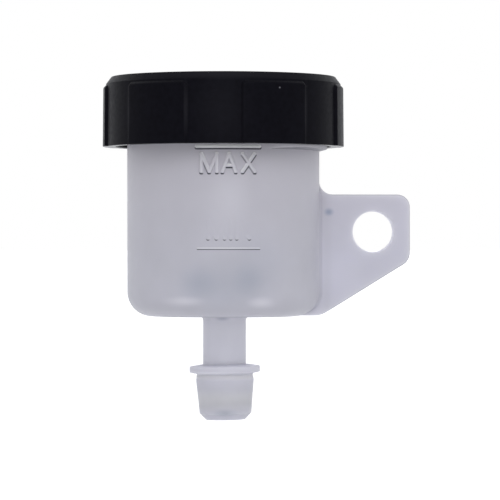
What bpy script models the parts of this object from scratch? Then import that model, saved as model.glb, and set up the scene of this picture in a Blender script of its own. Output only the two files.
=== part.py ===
"""Brake fluid reservoir with a screw cap.

A translucent moulded cup has a threaded neck, an outlet spigot and a flat mounting ear with one bolt
hole. A black screw cap holds a slip plate, which presses a rubber bellows diaphragm onto the cup's rim.
A push-on dust cap closes the spigot.

Metres, +Z up. The origin is the centre of the bolt hole on the back face of the ear. The cup's axis is
vertical and lies at -X from there. Its front, with the level marks, faces -Y.
"""

import math

import bmesh
import bpy
from mathutils import Matrix, Vector

# Facets round a full turn
CUP_SEGMENTS = 72
CAP_SEGMENTS = 72
PLATE_SEGMENTS = 48
BELLOWS_SEGMENTS = 40
SPIGOT_SEGMENTS = 32
HOLE_SEGMENTS = 40
CORNER_STEPS = 5

# Clearances
SEAT_GAP = 0.0003
THREAD_SIDE_GAP = 0.0003
THREAD_RADIAL_GAP = 0.0005
PLATE_SIDE_GAP = 0.0004
FLANGE_SIDE_GAP = 0.00035
BELLOWS_SIDE_GAP = 0.0005
DUST_CAP_SIDE_GAP = 0.0003

# Cup
CUP_RADIUS = 0.02155
CUP_DRAFT = 0.00015
CUP_WALL = 0.0019
CUP_FLOOR = 0.0020
CUP_CORNER = 0.0054
CUP_HEIGHT = 0.0473
RIM_CHAMFER = 0.0004

# Mounting ear
HOLE_TO_CUP_WALL = 0.01199
HOLE_ABOVE_UNDERSIDE = 0.0188
HOLE_RADIUS = 0.00455
EAR_THICKNESS = 0.0032
EAR_ABOVE_HOLE = 0.00834
EAR_BEYOND_HOLE = 0.0083
EAR_BELOW_HOLE = 0.00626
EAR_TOP_CORNER = 0.0028
EAR_LOW_CORNER = 0.0031
EAR_NOTCH_CORNER = 0.0030
EAR_FOOT_CORNER = 0.0050
EAR_FOOT_RISE = 0.00012
EAR_BLEND = 0.0018
EAR_BLEND_DEPTH = 0.0003
BLEND_NOTCH_CLIMB = 0.7
BLEND_NOTCH_SHARE = 0.9
BLEND_NOTCH_STEPS = 4
BLEND_FADE_START = 30.0
BLEND_FADE_END = 62.0
BLEND_LEAST_SHARE = 0.15

# Outlet spigot
SPIGOT_OFFSET = 0.00027
SPIGOT_RADIUS = 0.00482
SPIGOT_BORE = 0.0032
SPIGOT_LENGTH = 0.0194
SPIGOT_ROOT_FILLET = 0.0010
SPIGOT_BEAD_HEIGHT = 0.0003
SPIGOT_BEAD_LENGTH = 0.0030
SPIGOT_TIP_CHAMFER = 0.0009
BORE_MOUTH_CHAMFER = 0.0010

# Neck thread, with a level run at its lower end
THREAD_PITCH = 0.0030
THREAD_DEPTH = 0.00175
THREAD_CREST = 0.0009
THREAD_ROOT = 0.0017
THREAD_TOP_BELOW_RIM = 0.00215
NECK_THREAD_TURNS = 2.5
LEVEL_RUN_START = 25.6
LEVEL_RUN_ANGLE = 70.0
THREAD_TAPER_ANGLE = 15.0
THREAD_DIVE = 0.0001

# Level marks, raised on the front of the cup
MARK_LENGTH = 0.0147
MAX_MARK_BELOW_RIM = 0.0103
MAX_MARK_HEIGHT = 0.0011
MAX_MARK_PROUD = 0.00045
MIN_MARK_ABOVE_UNDERSIDE = 0.0149
MIN_MARK_HEIGHT = 0.0005
MIN_MARK_PROUD = 0.0002
MARK_SEGMENTS = 8
MARK_END_SHARE = 0.4
MARK_EDGE_SHARE = 0.3

# Bellows diaphragm
FLANGE_THICKNESS = 0.0014
BELLOWS_WALL = 0.0009
BELLOWS_DEPTH = 0.0092
BELLOWS_FOLD = 0.0013
BELLOWS_CREST_BELOW_RIM = 0.0016
BELLOWS_FLOOR_CORNER = 0.0015
BELLOWS_FLOOR_RISE = 0.0012
FOLD_STEPS = 4

# Slip plate
PLATE_THICKNESS = 0.0015
PLATE_EDGE_CHAMFER = 0.0003
PLATE_DISH_RADIUS = 0.0150
PLATE_DISH_DEPTH = 0.0012
PLATE_DISH_SLOPE = 0.0014
PLATE_VENT_RADIUS = 0.0016

# Screw cap
CAP_WALL = 0.0026
CAP_TOP_WALL = 0.0023
CAP_HEIGHT = 0.0156
CAP_DRAFT = 0.00012
CAP_CHAMFER_WIDTH = 0.0012
CAP_CHAMFER_HEIGHT = 0.0016
CAP_MOUTH_CHAMFER = 0.0004
PAD_COUNT = 6
PAD_ANGLE = 34.2
PAD_HEIGHT = 0.0006
PAD_CENTRE = 23.1
PAD_BELOW_CHAMFER = 0.0003
PAD_TOP_ROUND = 0.0004
PAD_TOP_SHARE = 0.35
PAD_SIDE_ROUND = 0.00045
PAD_CORNER = 0.0011
PAD_STEPS = 10
CAP_THREAD_TURNS = 1.6
CAP_THREAD_LEAD = 0.05
CAP_THREAD_ABOVE_MOUTH = 0.0004
BEAD_OVERLAP = 0.00035
BEAD_HEIGHT = 0.0007

# Dust cap on the spigot
DUST_CAP_LENGTH = 0.01236
DUST_CAP_ENGAGEMENT = 0.0085
DUST_CAP_WALL_TOP = 0.00083
DUST_CAP_WALL_LOW = 0.00039
DUST_CAP_BORE_TAPER = 0.0005
DUST_CAP_BULGE = 0.00011
DUST_CAP_BULGE_BELOW_FLANGE = 0.0012
DUST_CAP_END_CHAMFER = 0.00185
DUST_CAP_END_INSET = 0.00141
DUST_CAP_FLOOR = 0.0016
DUST_FLANGE_REACH = 0.00165
DUST_FLANGE_ROOT = 0.0021
DUST_FLANGE_EDGE = 0.00135
DUST_CAP_TILT = 1.0

# Derived places
CUP_X = -HOLE_TO_CUP_WALL - CUP_RADIUS
CUP_Y = -EAR_THICKNESS / 2
UNDERSIDE_Z = -HOLE_ABOVE_UNDERSIDE
RIM_Z = UNDERSIDE_Z + CUP_HEIGHT
CUP_BORE = CUP_RADIUS - CUP_WALL
THREAD_LOW_Z = RIM_Z - THREAD_TOP_BELOW_RIM - NECK_THREAD_TURNS * THREAD_PITCH
THREAD_CREST_RADIUS = CUP_RADIUS + THREAD_DEPTH
THREAD_NARROWING = (THREAD_ROOT - THREAD_CREST) / THREAD_DEPTH
FLANGE_LOW_Z = RIM_Z + SEAT_GAP
FLANGE_TOP_Z = FLANGE_LOW_Z + FLANGE_THICKNESS
PLATE_LOW_Z = FLANGE_TOP_Z + SEAT_GAP
PLATE_TOP_Z = PLATE_LOW_Z + PLATE_THICKNESS
CAP_INNER_TOP_Z = PLATE_TOP_Z + SEAT_GAP
CAP_TOP_Z = CAP_INNER_TOP_Z + CAP_TOP_WALL
CAP_MOUTH_Z = CAP_TOP_Z - CAP_HEIGHT
CAP_BORE = THREAD_CREST_RADIUS + THREAD_RADIAL_GAP
CAP_BASE_RADIUS = CAP_BORE + CAP_WALL
CAP_RADIUS = CAP_BASE_RADIUS + PAD_HEIGHT
CAP_THREAD_ROOT = THREAD_PITCH - 2 * THREAD_SIDE_GAP - THREAD_CREST + THREAD_NARROWING * THREAD_RADIAL_GAP
BEAD_RADIUS = CAP_BORE - THREAD_DEPTH
FLANGE_RADIUS = BEAD_RADIUS - FLANGE_SIDE_GAP
PLATE_RADIUS = BEAD_RADIUS + BEAD_OVERLAP
SPIGOT_TIP_Z = UNDERSIDE_Z - SPIGOT_LENGTH
MAX_MARK_Z = RIM_Z - MAX_MARK_BELOW_RIM
MIN_MARK_Z = UNDERSIDE_Z + MIN_MARK_ABOVE_UNDERSIDE
DUST_CAP_BORE = SPIGOT_RADIUS + SPIGOT_BEAD_HEIGHT + DUST_CAP_SIDE_GAP
MERGE_DISTANCE = 1e-7
SHARP_ANGLE = math.radians(32)


def polar(radius, angle, z):
    """Returns the point at a radius and an angle in radians from +X."""
    return Vector((radius * math.cos(angle), radius * math.sin(angle), z))


def from_front(degrees):
    """Turns an angle from the front, positive towards +X, into radians from +X."""
    return math.radians(degrees - 90)


def arc(centre, radius, start, end, steps):
    """Returns points on an arc in a 2-D outline, from start to end in degrees."""
    points = []
    for i in range(steps + 1):
        a = math.radians(start + (end - start) * i / steps)
        points.append((centre[0] + radius * math.cos(a), centre[1] + radius * math.sin(a)))
    return points


def rounded(corners, steps=CORNER_STEPS):
    """Returns an outline with each corner (x, y, radius) replaced by an arc of its radius."""
    outline = []
    for i, (x, y, radius) in enumerate(corners):
        corner = Vector((x, y))
        if radius == 0:
            outline.append((x, y))
            continue
        before = (Vector(corners[i - 1][:2]) - corner).normalized()
        after = (Vector(corners[(i + 1) % len(corners)][:2]) - corner).normalized()
        half = before.angle(after) / 2
        middle = (before + after).normalized()
        centre = corner + middle * (radius / math.sin(half))
        first = corner + before * (radius / math.tan(half)) - centre
        turn = -first.angle_signed(corner + after * (radius / math.tan(half)) - centre)
        for k in range(steps + 1):
            spoke = Matrix.Rotation(turn * k / steps, 2) @ first
            outline.append(tuple(centre + spoke))
    return outline


def material(name, colour, roughness, alpha=1.0):
    """Returns a Principled material."""
    made = bpy.data.materials.new(name)
    made.use_nodes = True
    shader = made.node_tree.nodes["Principled BSDF"]
    shader.inputs["Base Color"].default_value = (*colour, 1)
    shader.inputs["Roughness"].default_value = roughness
    shader.inputs["Metallic"].default_value = 0
    shader.inputs["Alpha"].default_value = alpha
    return made


def add_object(name, mesh_data, finish=None, at=(0, 0, 0)):
    """Makes an object from a bmesh, with smooth faces and sharp edges by angle."""
    bmesh.ops.remove_doubles(mesh_data, verts=mesh_data.verts, dist=MERGE_DISTANCE)
    bmesh.ops.recalc_face_normals(mesh_data, faces=mesh_data.faces)
    mesh = bpy.data.meshes.new(name)
    mesh_data.to_mesh(mesh)
    mesh_data.free()
    mesh.shade_smooth()
    mesh.set_sharp_from_angle(angle=SHARP_ANGLE)
    if finish:
        mesh.materials.append(finish)
    made = bpy.data.objects.new(name, mesh)
    made.location = at
    bpy.context.scene.collection.objects.link(made)
    return made


def combine(target, tool, operation):
    """Adds a Boolean of a guide object to the target and hides the guide."""
    tool.hide_render = True
    tool.display_type = "WIRE"
    step = target.modifiers.new(tool.name, "BOOLEAN")
    step.object = tool
    step.operation = operation
    step.solver = "EXACT"


def turned(outline, segments, start=0.0):
    """Revolves an (r, z) outline about Z. An outline that ends on the axis isn't closed along it."""
    shape = bmesh.new()
    verts = [shape.verts.new(polar(r, start, z)) for r, z in outline]
    pairs = list(zip(verts, verts[1:]))
    if outline[0][0] > 0 or outline[-1][0] > 0:
        pairs.append((verts[-1], verts[0]))
    edges = [shape.edges.new(pair) for pair in pairs]
    bmesh.ops.spin(
        shape, geom=verts + edges, cent=(0, 0, 0), axis=(0, 0, 1),
        angle=math.tau, steps=segments, use_merge=True,
    )
    return shape


def extruded(outline, place, depth):
    """Extrudes a 2-D outline. place turns (x, y) into a 3-D point, and depth is the way to go."""
    shape = bmesh.new()
    face = shape.faces.new([shape.verts.new(place(x, y)) for x, y in outline])
    grown = bmesh.ops.extrude_face_region(shape, geom=[face])
    verts = [item for item in grown["geom"] if isinstance(item, bmesh.types.BMVert)]
    bmesh.ops.translate(shape, verts=verts, vec=depth)
    return shape


def lofted(rings):
    """Joins rings of equally many points into a closed solid with a face at each end."""
    shape = bmesh.new()
    rows = [[shape.verts.new(point) for point in ring] for ring in rings]
    for row, following in zip(rows, rows[1:]):
        for i in range(len(row)):
            k = (i + 1) % len(row)
            shape.faces.new((row[i], row[k], following[k], following[i]))
    shape.faces.new(list(reversed(rows[0])))
    shape.faces.new(rows[-1])
    return shape


def thread_ridge(base_radius, outward, sink, root_width, stations):
    """Sweeps the thread's trapezoid. Each station is (angle, height, share of the full depth)."""

    def half_width(height):
        return (root_width - THREAD_NARROWING * height) / 2

    side = 1 if outward else -1
    rings = []
    for angle, z, share in stations:
        height = share * THREAD_DEPTH - (1 - share) * THREAD_DIVE
        root_half = half_width(-sink)
        crest_half = half_width(height)
        root = base_radius - side * sink
        crest = base_radius + side * height
        rings.append((
            polar(root, angle, z - root_half),
            polar(crest, angle, z - crest_half),
            polar(crest, angle, z + crest_half),
            polar(root, angle, z + root_half),
        ))
    return lofted(rings)


def thread_stations(first, level, turns, low_z, segments):
    """Lists the stations of a thread that runs level for a while and then climbs for some turns."""
    step = math.tau / segments
    level_steps = round(level / step)
    climb_steps = round(turns * segments)
    taper = math.radians(THREAD_TAPER_ANGLE)
    stations = []
    for i in range(level_steps + climb_steps + 1):
        z = low_z + max(0, i - level_steps) / segments * THREAD_PITCH
        from_end = min(i, level_steps + climb_steps - i) * step
        stations.append((first + i * step, z, min(1.0, from_end / taper)))
    return stations


def make_cup_shell():
    """Makes the turned cup with its rounded lower edge. Its facets lie half a step off the thread's."""
    low_radius = CUP_RADIUS - CUP_DRAFT
    inner_corner = max(CUP_CORNER - CUP_WALL, CUP_WALL / 2)
    floor_z = UNDERSIDE_Z + CUP_FLOOR
    outside = arc((low_radius - CUP_CORNER, UNDERSIDE_Z + CUP_CORNER), CUP_CORNER, 0, -90, CORNER_STEPS + 1)
    inside = arc(
        (low_radius - CUP_WALL - inner_corner, floor_z + inner_corner), inner_corner, -90, 0, CORNER_STEPS - 1
    )
    outline = [
        (0, floor_z), *inside, (CUP_BORE, RIM_Z),
        (CUP_RADIUS - RIM_CHAMFER, RIM_Z), (CUP_RADIUS, RIM_Z - RIM_CHAMFER), *outside, (0, UNDERSIDE_Z),
    ]
    return turned(outline, CUP_SEGMENTS, from_front(LEVEL_RUN_START) + math.pi / CUP_SEGMENTS)


def make_ear_plate():
    """Makes the flat ear: its outline seen from the front, as thick as the ear."""
    wall_x = CUP_X + CUP_RADIUS - EAR_BLEND_DEPTH
    inside_x = CUP_X + CUP_RADIUS - CUP_WALL / 2
    foot_x = CUP_X + CUP_RADIUS - CUP_DRAFT - CUP_CORNER
    foot_z = UNDERSIDE_Z + EAR_FOOT_RISE
    inner_corner = CUP_CORNER - CUP_WALL / 2
    outline = rounded([
        (inside_x, EAR_ABOVE_HOLE + EAR_NOTCH_CORNER, 0),
        (wall_x, EAR_ABOVE_HOLE + EAR_NOTCH_CORNER, 0),
        (wall_x, EAR_ABOVE_HOLE, EAR_NOTCH_CORNER),
        (EAR_BEYOND_HOLE, EAR_ABOVE_HOLE, EAR_TOP_CORNER),
        (EAR_BEYOND_HOLE, -EAR_BELOW_HOLE, EAR_LOW_CORNER),
        (wall_x, foot_z, EAR_FOOT_CORNER),
        (foot_x, foot_z, 0),
        (foot_x, UNDERSIDE_Z + CUP_FLOOR / 2, 0),
        (inside_x, UNDERSIDE_Z + CUP_FLOOR / 2, inner_corner),
    ])
    plate = extruded(outline, lambda x, z: Vector((x, -EAR_THICKNESS, z)), Vector((0, EAR_THICKNESS, 0)))
    return add_object("ear_plate", plate)


def make_ear_blend():
    """Makes the concave blend on both sides of the ear, swept down the cup's wall and round its corner."""
    corner_x = CUP_RADIUS - CUP_DRAFT - CUP_CORNER
    corner_z = UNDERSIDE_Z + CUP_CORNER
    fade_middle = (BLEND_FADE_START + BLEND_FADE_END) / 2
    stations = []
    for i in range(BLEND_NOTCH_STEPS + 1):
        climb = BLEND_NOTCH_CLIMB * (1 - i / BLEND_NOTCH_STEPS)
        notch_width = EAR_NOTCH_CORNER * (1 - math.sqrt(1 - (1 - climb) ** 2))
        share = min(1, BLEND_NOTCH_SHARE * notch_width / EAR_BLEND)
        stations.append((CUP_RADIUS, EAR_ABOVE_HOLE + EAR_NOTCH_CORNER * climb, 0, share))
    stations.append((CUP_RADIUS - CUP_DRAFT, corner_z, 0, 1))
    for degrees in (BLEND_FADE_START / 2, BLEND_FADE_START, fade_middle, BLEND_FADE_END):
        faded = max(0, degrees - BLEND_FADE_START) / (BLEND_FADE_END - BLEND_FADE_START)
        share = 1 - (1 - BLEND_LEAST_SHARE) * faded
        a = math.radians(degrees)
        stations.append((
            corner_x + CUP_CORNER * math.cos(a), corner_z - CUP_CORNER * math.sin(a), degrees, share,
        ))
    rings = []
    for radius, z, degrees, share in stations:
        size = EAR_BLEND * share
        half = EAR_THICKNESS / 2 - EAR_BLEND_DEPTH
        quarter = arc((size, half + size), size, 180, 270, CORNER_STEPS - 1)
        right = [(reach, side) for reach, side in reversed(quarter)]
        section = right + [(-CUP_WALL / 2, half + size), (-CUP_WALL / 2, -half - size)]
        section += [(reach, -side) for reach, side in reversed(right)]
        a = math.radians(degrees)
        wall_x = CUP_X + radius - EAR_BLEND_DEPTH
        rings.append([
            Vector((wall_x + reach * math.cos(a), CUP_Y + side, z - reach * math.sin(a)))
            for reach, side in section
        ])
    return add_object("ear_blend", lofted(rings))


def make_spigot():
    """Makes the outlet spigot's outside, with its root flare, hose bead and chamfered tip."""
    sink_z = UNDERSIDE_Z + CUP_FLOOR / 2
    flare_radius = SPIGOT_RADIUS + SPIGOT_ROOT_FILLET
    bead_radius = SPIGOT_RADIUS + SPIGOT_BEAD_HEIGHT
    outline = [(0, SPIGOT_TIP_Z), (SPIGOT_RADIUS - SPIGOT_TIP_CHAMFER / 2, SPIGOT_TIP_Z)]
    outline += [
        (bead_radius, SPIGOT_TIP_Z + SPIGOT_TIP_CHAMFER),
        (bead_radius, SPIGOT_TIP_Z + SPIGOT_BEAD_LENGTH / 2),
        (SPIGOT_RADIUS, SPIGOT_TIP_Z + SPIGOT_BEAD_LENGTH),
    ]
    flare_centre = (flare_radius, UNDERSIDE_Z - SPIGOT_ROOT_FILLET)
    outline += arc(flare_centre, SPIGOT_ROOT_FILLET, 180, 90, CORNER_STEPS)
    outline += [(flare_radius, sink_z), (0, sink_z)]
    return add_object("spigot", turned(outline, SPIGOT_SEGMENTS), at=(CUP_X + SPIGOT_OFFSET, CUP_Y, 0))


def make_spigot_bore():
    """Makes the cutter for the spigot's bore, with its chamfered mouth in the cup's floor."""
    floor_z = UNDERSIDE_Z + CUP_FLOOR
    over = SPIGOT_BORE
    outline = [
        (0, SPIGOT_TIP_Z - over), (SPIGOT_BORE, SPIGOT_TIP_Z - over),
        (SPIGOT_BORE, floor_z - BORE_MOUTH_CHAMFER),
        (SPIGOT_BORE + BORE_MOUTH_CHAMFER + over, floor_z + over), (0, floor_z + over),
    ]
    return add_object("spigot_bore", turned(outline, SPIGOT_SEGMENTS), at=(CUP_X + SPIGOT_OFFSET, CUP_Y, 0))


def make_bolt_hole():
    """Makes the cutter for the ear's bolt hole."""
    circle = arc((0, 0), HOLE_RADIUS, 0, 360 * (1 - 1 / HOLE_SEGMENTS), HOLE_SEGMENTS - 1)
    hole = extruded(
        circle, lambda x, z: Vector((x, -2 * EAR_THICKNESS, z)), Vector((0, 3 * EAR_THICKNESS, 0))
    )
    return add_object("bolt_hole", hole)


def make_level_mark(name, z, height, proud):
    """Makes one raised bar on the cup's front, with a rounded section and rounded ends."""
    sink = CUP_WALL / 2
    end = MARK_LENGTH / 2
    flat = end - height / 2
    stations = [(flat * (2 * i / MARK_SEGMENTS - 1), 1) for i in range(MARK_SEGMENTS + 1)]
    stations = [(-end, MARK_END_SHARE), *stations, (end, MARK_END_SHARE)]
    rings = []
    for along, share in stations:
        angle = from_front(0) + along / CUP_RADIUS
        half = height / 2 * share
        rise = proud * share
        rings.append([
            polar(CUP_RADIUS - sink, angle, z - half),
            polar(CUP_RADIUS + rise * MARK_EDGE_SHARE, angle, z - half),
            polar(CUP_RADIUS + rise, angle, z - half / 2),
            polar(CUP_RADIUS + rise, angle, z + half / 2),
            polar(CUP_RADIUS + rise * MARK_EDGE_SHARE, angle, z + half),
            polar(CUP_RADIUS - sink, angle, z + half),
        ])
    return add_object(name, lofted(rings), at=(CUP_X, CUP_Y, 0))


def make_neck_thread():
    """Makes the coarse thread on the cup's neck. Its lower end runs level before it climbs."""
    stations = thread_stations(
        from_front(LEVEL_RUN_START), math.radians(LEVEL_RUN_ANGLE), NECK_THREAD_TURNS,
        THREAD_LOW_Z, CUP_SEGMENTS,
    )
    ridge = thread_ridge(CUP_RADIUS, True, CUP_WALL / 2, THREAD_ROOT, stations)
    return add_object("neck_thread", ridge, at=(CUP_X, CUP_Y, 0))


def make_cup(finish):
    """Makes the one-piece cup: shell, neck thread, ear, spigot and level marks."""
    cup = add_object("reservoir_cup", make_cup_shell(), finish, at=(CUP_X, CUP_Y, 0))
    ear = make_ear_plate()
    combine(ear, make_bolt_hole(), "DIFFERENCE")
    combine(cup, make_neck_thread(), "UNION")
    combine(cup, ear, "UNION")
    combine(cup, make_ear_blend(), "UNION")
    combine(cup, make_spigot(), "UNION")
    combine(cup, make_spigot_bore(), "DIFFERENCE")
    combine(cup, make_level_mark("max_mark", MAX_MARK_Z, MAX_MARK_HEIGHT, MAX_MARK_PROUD), "UNION")
    combine(cup, make_level_mark("min_mark", MIN_MARK_Z, MIN_MARK_HEIGHT, MIN_MARK_PROUD), "UNION")
    return cup


def make_bellows(finish):
    """Makes the rubber diaphragm: a flange on the cup's rim and folds that hang in the cup."""
    half = BELLOWS_WALL / 2
    outer_radius = CUP_BORE - BELLOWS_SIDE_GAP - half
    low_z = RIM_Z - BELLOWS_DEPTH + half
    crest_z = RIM_Z - BELLOWS_CREST_BELOW_RIM - half
    fold = BELLOWS_FOLD
    corner = BELLOWS_FLOOR_CORNER
    floor_z = low_z + BELLOWS_FLOOR_RISE
    inner_radius = outer_radius - 4 * fold

    def side(offset):
        """Returns the fold line moved by offset, positive towards the air side."""
        points = [(outer_radius - offset, FLANGE_TOP_Z if offset > 0 else FLANGE_LOW_Z)]
        points += arc((outer_radius - fold, low_z + fold), fold - offset, 0, -180, FOLD_STEPS)
        points += arc((outer_radius - 3 * fold, crest_z - fold), fold + offset, 0, 180, FOLD_STEPS)
        points += arc((inner_radius - corner, floor_z + corner), corner - offset, 0, -90, FOLD_STEPS - 1)
        return points + [(0, floor_z + offset)]

    outline = list(reversed(side(half)))
    outline += [(FLANGE_RADIUS, FLANGE_TOP_Z), (FLANGE_RADIUS, FLANGE_LOW_Z)]
    outline += side(-half)
    return add_object("bellows_diaphragm", turned(outline, BELLOWS_SEGMENTS), finish, at=(CUP_X, CUP_Y, 0))


def make_slip_plate(finish):
    """Makes the dished disc that presses on the diaphragm's flange, with a vent hole."""
    dish_low = PLATE_LOW_Z - PLATE_DISH_DEPTH
    dish_top = PLATE_TOP_Z - PLATE_DISH_DEPTH
    foot_radius = PLATE_DISH_RADIUS - PLATE_DISH_SLOPE
    outline = [
        (PLATE_VENT_RADIUS, dish_top), (foot_radius, dish_top), (PLATE_DISH_RADIUS, PLATE_TOP_Z),
        (PLATE_RADIUS - PLATE_EDGE_CHAMFER, PLATE_TOP_Z), (PLATE_RADIUS, PLATE_TOP_Z - PLATE_EDGE_CHAMFER),
        (PLATE_RADIUS, PLATE_LOW_Z + PLATE_EDGE_CHAMFER), (PLATE_RADIUS - PLATE_EDGE_CHAMFER, PLATE_LOW_Z),
        (PLATE_DISH_RADIUS, PLATE_LOW_Z), (foot_radius, dish_low), (PLATE_VENT_RADIUS, dish_low),
    ]
    return add_object("slip_plate", turned(outline, PLATE_SEGMENTS), finish, at=(CUP_X, CUP_Y, 0))


def make_cap_body():
    """Makes the turned cap: top, chamfer, skirt and the recess and bead that hold the slip plate."""
    chamfer_z = CAP_TOP_Z - CAP_CHAMFER_HEIGHT
    bead_top = PLATE_LOW_Z - SEAT_GAP
    plate_bore = PLATE_RADIUS + PLATE_SIDE_GAP
    top_radius = CAP_BASE_RADIUS - CAP_DRAFT
    outline = [
        (0, CAP_TOP_Z), (top_radius - CAP_CHAMFER_WIDTH, CAP_TOP_Z), (top_radius, chamfer_z),
        (CAP_BASE_RADIUS, CAP_MOUTH_Z), (CAP_BORE + CAP_MOUTH_CHAMFER, CAP_MOUTH_Z),
        (CAP_BORE, CAP_MOUTH_Z + CAP_MOUTH_CHAMFER),
        (CAP_BORE, bead_top - BEAD_HEIGHT), (BEAD_RADIUS, bead_top - BEAD_HEIGHT / 3),
        (BEAD_RADIUS, bead_top), (plate_bore, bead_top),
        (plate_bore, CAP_INNER_TOP_Z), (0, CAP_INNER_TOP_Z),
    ]
    return turned(outline, CAP_SEGMENTS, cap_thread_start() + math.pi / CAP_SEGMENTS)


def cap_thread_start():
    """Returns the angle where the cap's thread begins, past the level run of the neck's thread."""
    lowest = CAP_MOUTH_Z + CAP_THREAD_ABOVE_MOUTH + CAP_THREAD_ROOT / 2
    turns = max(CAP_THREAD_LEAD, (lowest - THREAD_LOW_Z) / THREAD_PITCH - 0.5)
    return from_front(LEVEL_RUN_START + LEVEL_RUN_ANGLE) + turns * math.tau


def make_cap_thread():
    """Makes the cap's internal thread, midway between the turns of the neck's thread."""
    climbed = (cap_thread_start() - from_front(LEVEL_RUN_START + LEVEL_RUN_ANGLE)) / math.tau
    low_z = THREAD_LOW_Z + (climbed + 0.5) * THREAD_PITCH
    stations = thread_stations(cap_thread_start(), 0, CAP_THREAD_TURNS, low_z, CAP_SEGMENTS)
    ridge = thread_ridge(CAP_BORE, False, CAP_WALL / 2, CAP_THREAD_ROOT, stations)
    return add_object("cap_thread", ridge, at=(CUP_X, CUP_Y, 0))


def make_pad(index):
    """Makes one raised grip pad: a curved bar with rounded upper corners and sides."""
    centre = from_front(PAD_CENTRE + 360 / PAD_COUNT * index)
    top_z = CAP_TOP_Z - CAP_CHAMFER_HEIGHT - PAD_BELOW_CHAMFER
    sink = CAP_WALL / 3
    half_angle = math.radians(PAD_ANGLE / 2)
    side_angle = PAD_SIDE_ROUND / CAP_RADIUS
    corner_angle = PAD_CORNER / CAP_RADIUS
    lanes = [(-half_angle, 0.0, PAD_CORNER), (-half_angle + side_angle, 1.0, PAD_CORNER / 2)]
    lanes.append((-half_angle + corner_angle, 1.0, 0.0))
    flat = half_angle - corner_angle
    lanes += [(flat * (2 * i / PAD_STEPS - 1), 1.0, 0.0) for i in range(1, PAD_STEPS)]
    lanes += [(-angle, rise, drop) for angle, rise, drop in reversed(lanes[:3])]
    rings = []
    for angle, rise, drop in lanes:
        outer = CAP_BASE_RADIUS + PAD_HEIGHT * rise
        edge = CAP_BASE_RADIUS + PAD_HEIGHT * rise * PAD_TOP_SHARE
        rings.append([
            polar(CAP_BASE_RADIUS - sink, centre + angle, CAP_MOUTH_Z + sink / 2),
            polar(CAP_BASE_RADIUS - sink / 4, centre + angle, CAP_MOUTH_Z),
            polar(outer, centre + angle, CAP_MOUTH_Z),
            polar(outer - CAP_DRAFT, centre + angle, top_z - drop - PAD_TOP_ROUND),
            polar(edge - CAP_DRAFT, centre + angle, top_z - drop),
            polar(CAP_BASE_RADIUS - sink, centre + angle, top_z - drop),
        ])
    return add_object(f"grip_pad_{index + 1}", lofted(rings), at=(CUP_X, CUP_Y, 0))


def make_cap(finish):
    """Makes the screw cap with its grip pads and thread."""
    cap = add_object("screw_cap", make_cap_body(), finish, at=(CUP_X, CUP_Y, 0))
    for index in range(PAD_COUNT):
        combine(cap, make_pad(index), "UNION")
    combine(cap, make_cap_thread(), "UNION")
    return cap


def make_dust_cap(finish):
    """Makes the push-on dust cap, leaning a little on the spigot's bead."""
    mouth_z = DUST_CAP_ENGAGEMENT
    end_z = mouth_z - DUST_CAP_LENGTH
    top_radius = DUST_CAP_BORE + DUST_CAP_WALL_TOP
    low_radius = DUST_CAP_BORE + DUST_CAP_WALL_LOW
    flange_radius = top_radius + DUST_FLANGE_REACH
    edge_drop = (DUST_FLANGE_ROOT - DUST_FLANGE_EDGE) / 2
    bulge_z = mouth_z - DUST_FLANGE_ROOT - DUST_CAP_BULGE_BELOW_FLANGE
    lead_in = DUST_CAP_SIDE_GAP
    floor_z = end_z + DUST_CAP_FLOOR
    outline = [
        (0, end_z), (low_radius - DUST_CAP_END_INSET, end_z), (low_radius, end_z + DUST_CAP_END_CHAMFER),
        (top_radius + DUST_CAP_BULGE, bulge_z), (top_radius, mouth_z - DUST_FLANGE_ROOT),
        (flange_radius, mouth_z - edge_drop - DUST_FLANGE_EDGE), (flange_radius, mouth_z - edge_drop),
        (DUST_CAP_BORE + lead_in, mouth_z), (DUST_CAP_BORE, mouth_z - lead_in),
        (DUST_CAP_BORE, 0), (DUST_CAP_BORE - DUST_CAP_BORE_TAPER, floor_z), (0, floor_z),
    ]
    made = add_object(
        "outlet_dust_cap", turned(outline, SPIGOT_SEGMENTS), finish,
        at=(CUP_X + SPIGOT_OFFSET, CUP_Y, SPIGOT_TIP_Z),
    )
    made.rotation_euler = (0, math.radians(-DUST_CAP_TILT), 0)
    return made


def clear_scene():
    """Removes what the scene holds before the model is made."""
    for old in list(bpy.data.objects):
        bpy.data.objects.remove(old, do_unlink=True)


def main():
    clear_scene()
    milky = material("milky_plastic", (0.45, 0.44, 0.49), 0.35, alpha=0.8)
    black = material("black_plastic", (0.012, 0.012, 0.016), 0.4)
    rubber = material("black_rubber", (0.01, 0.01, 0.01), 0.7)
    plain = material("plate_plastic", (0.6, 0.6, 0.58), 0.4)
    make_cup(milky)
    make_bellows(rubber)
    make_slip_plate(plain)
    make_cap(black)
    make_dust_cap(milky)


main()
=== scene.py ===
import math

import bmesh
import bpy
from mathutils import Matrix, Vector


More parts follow.
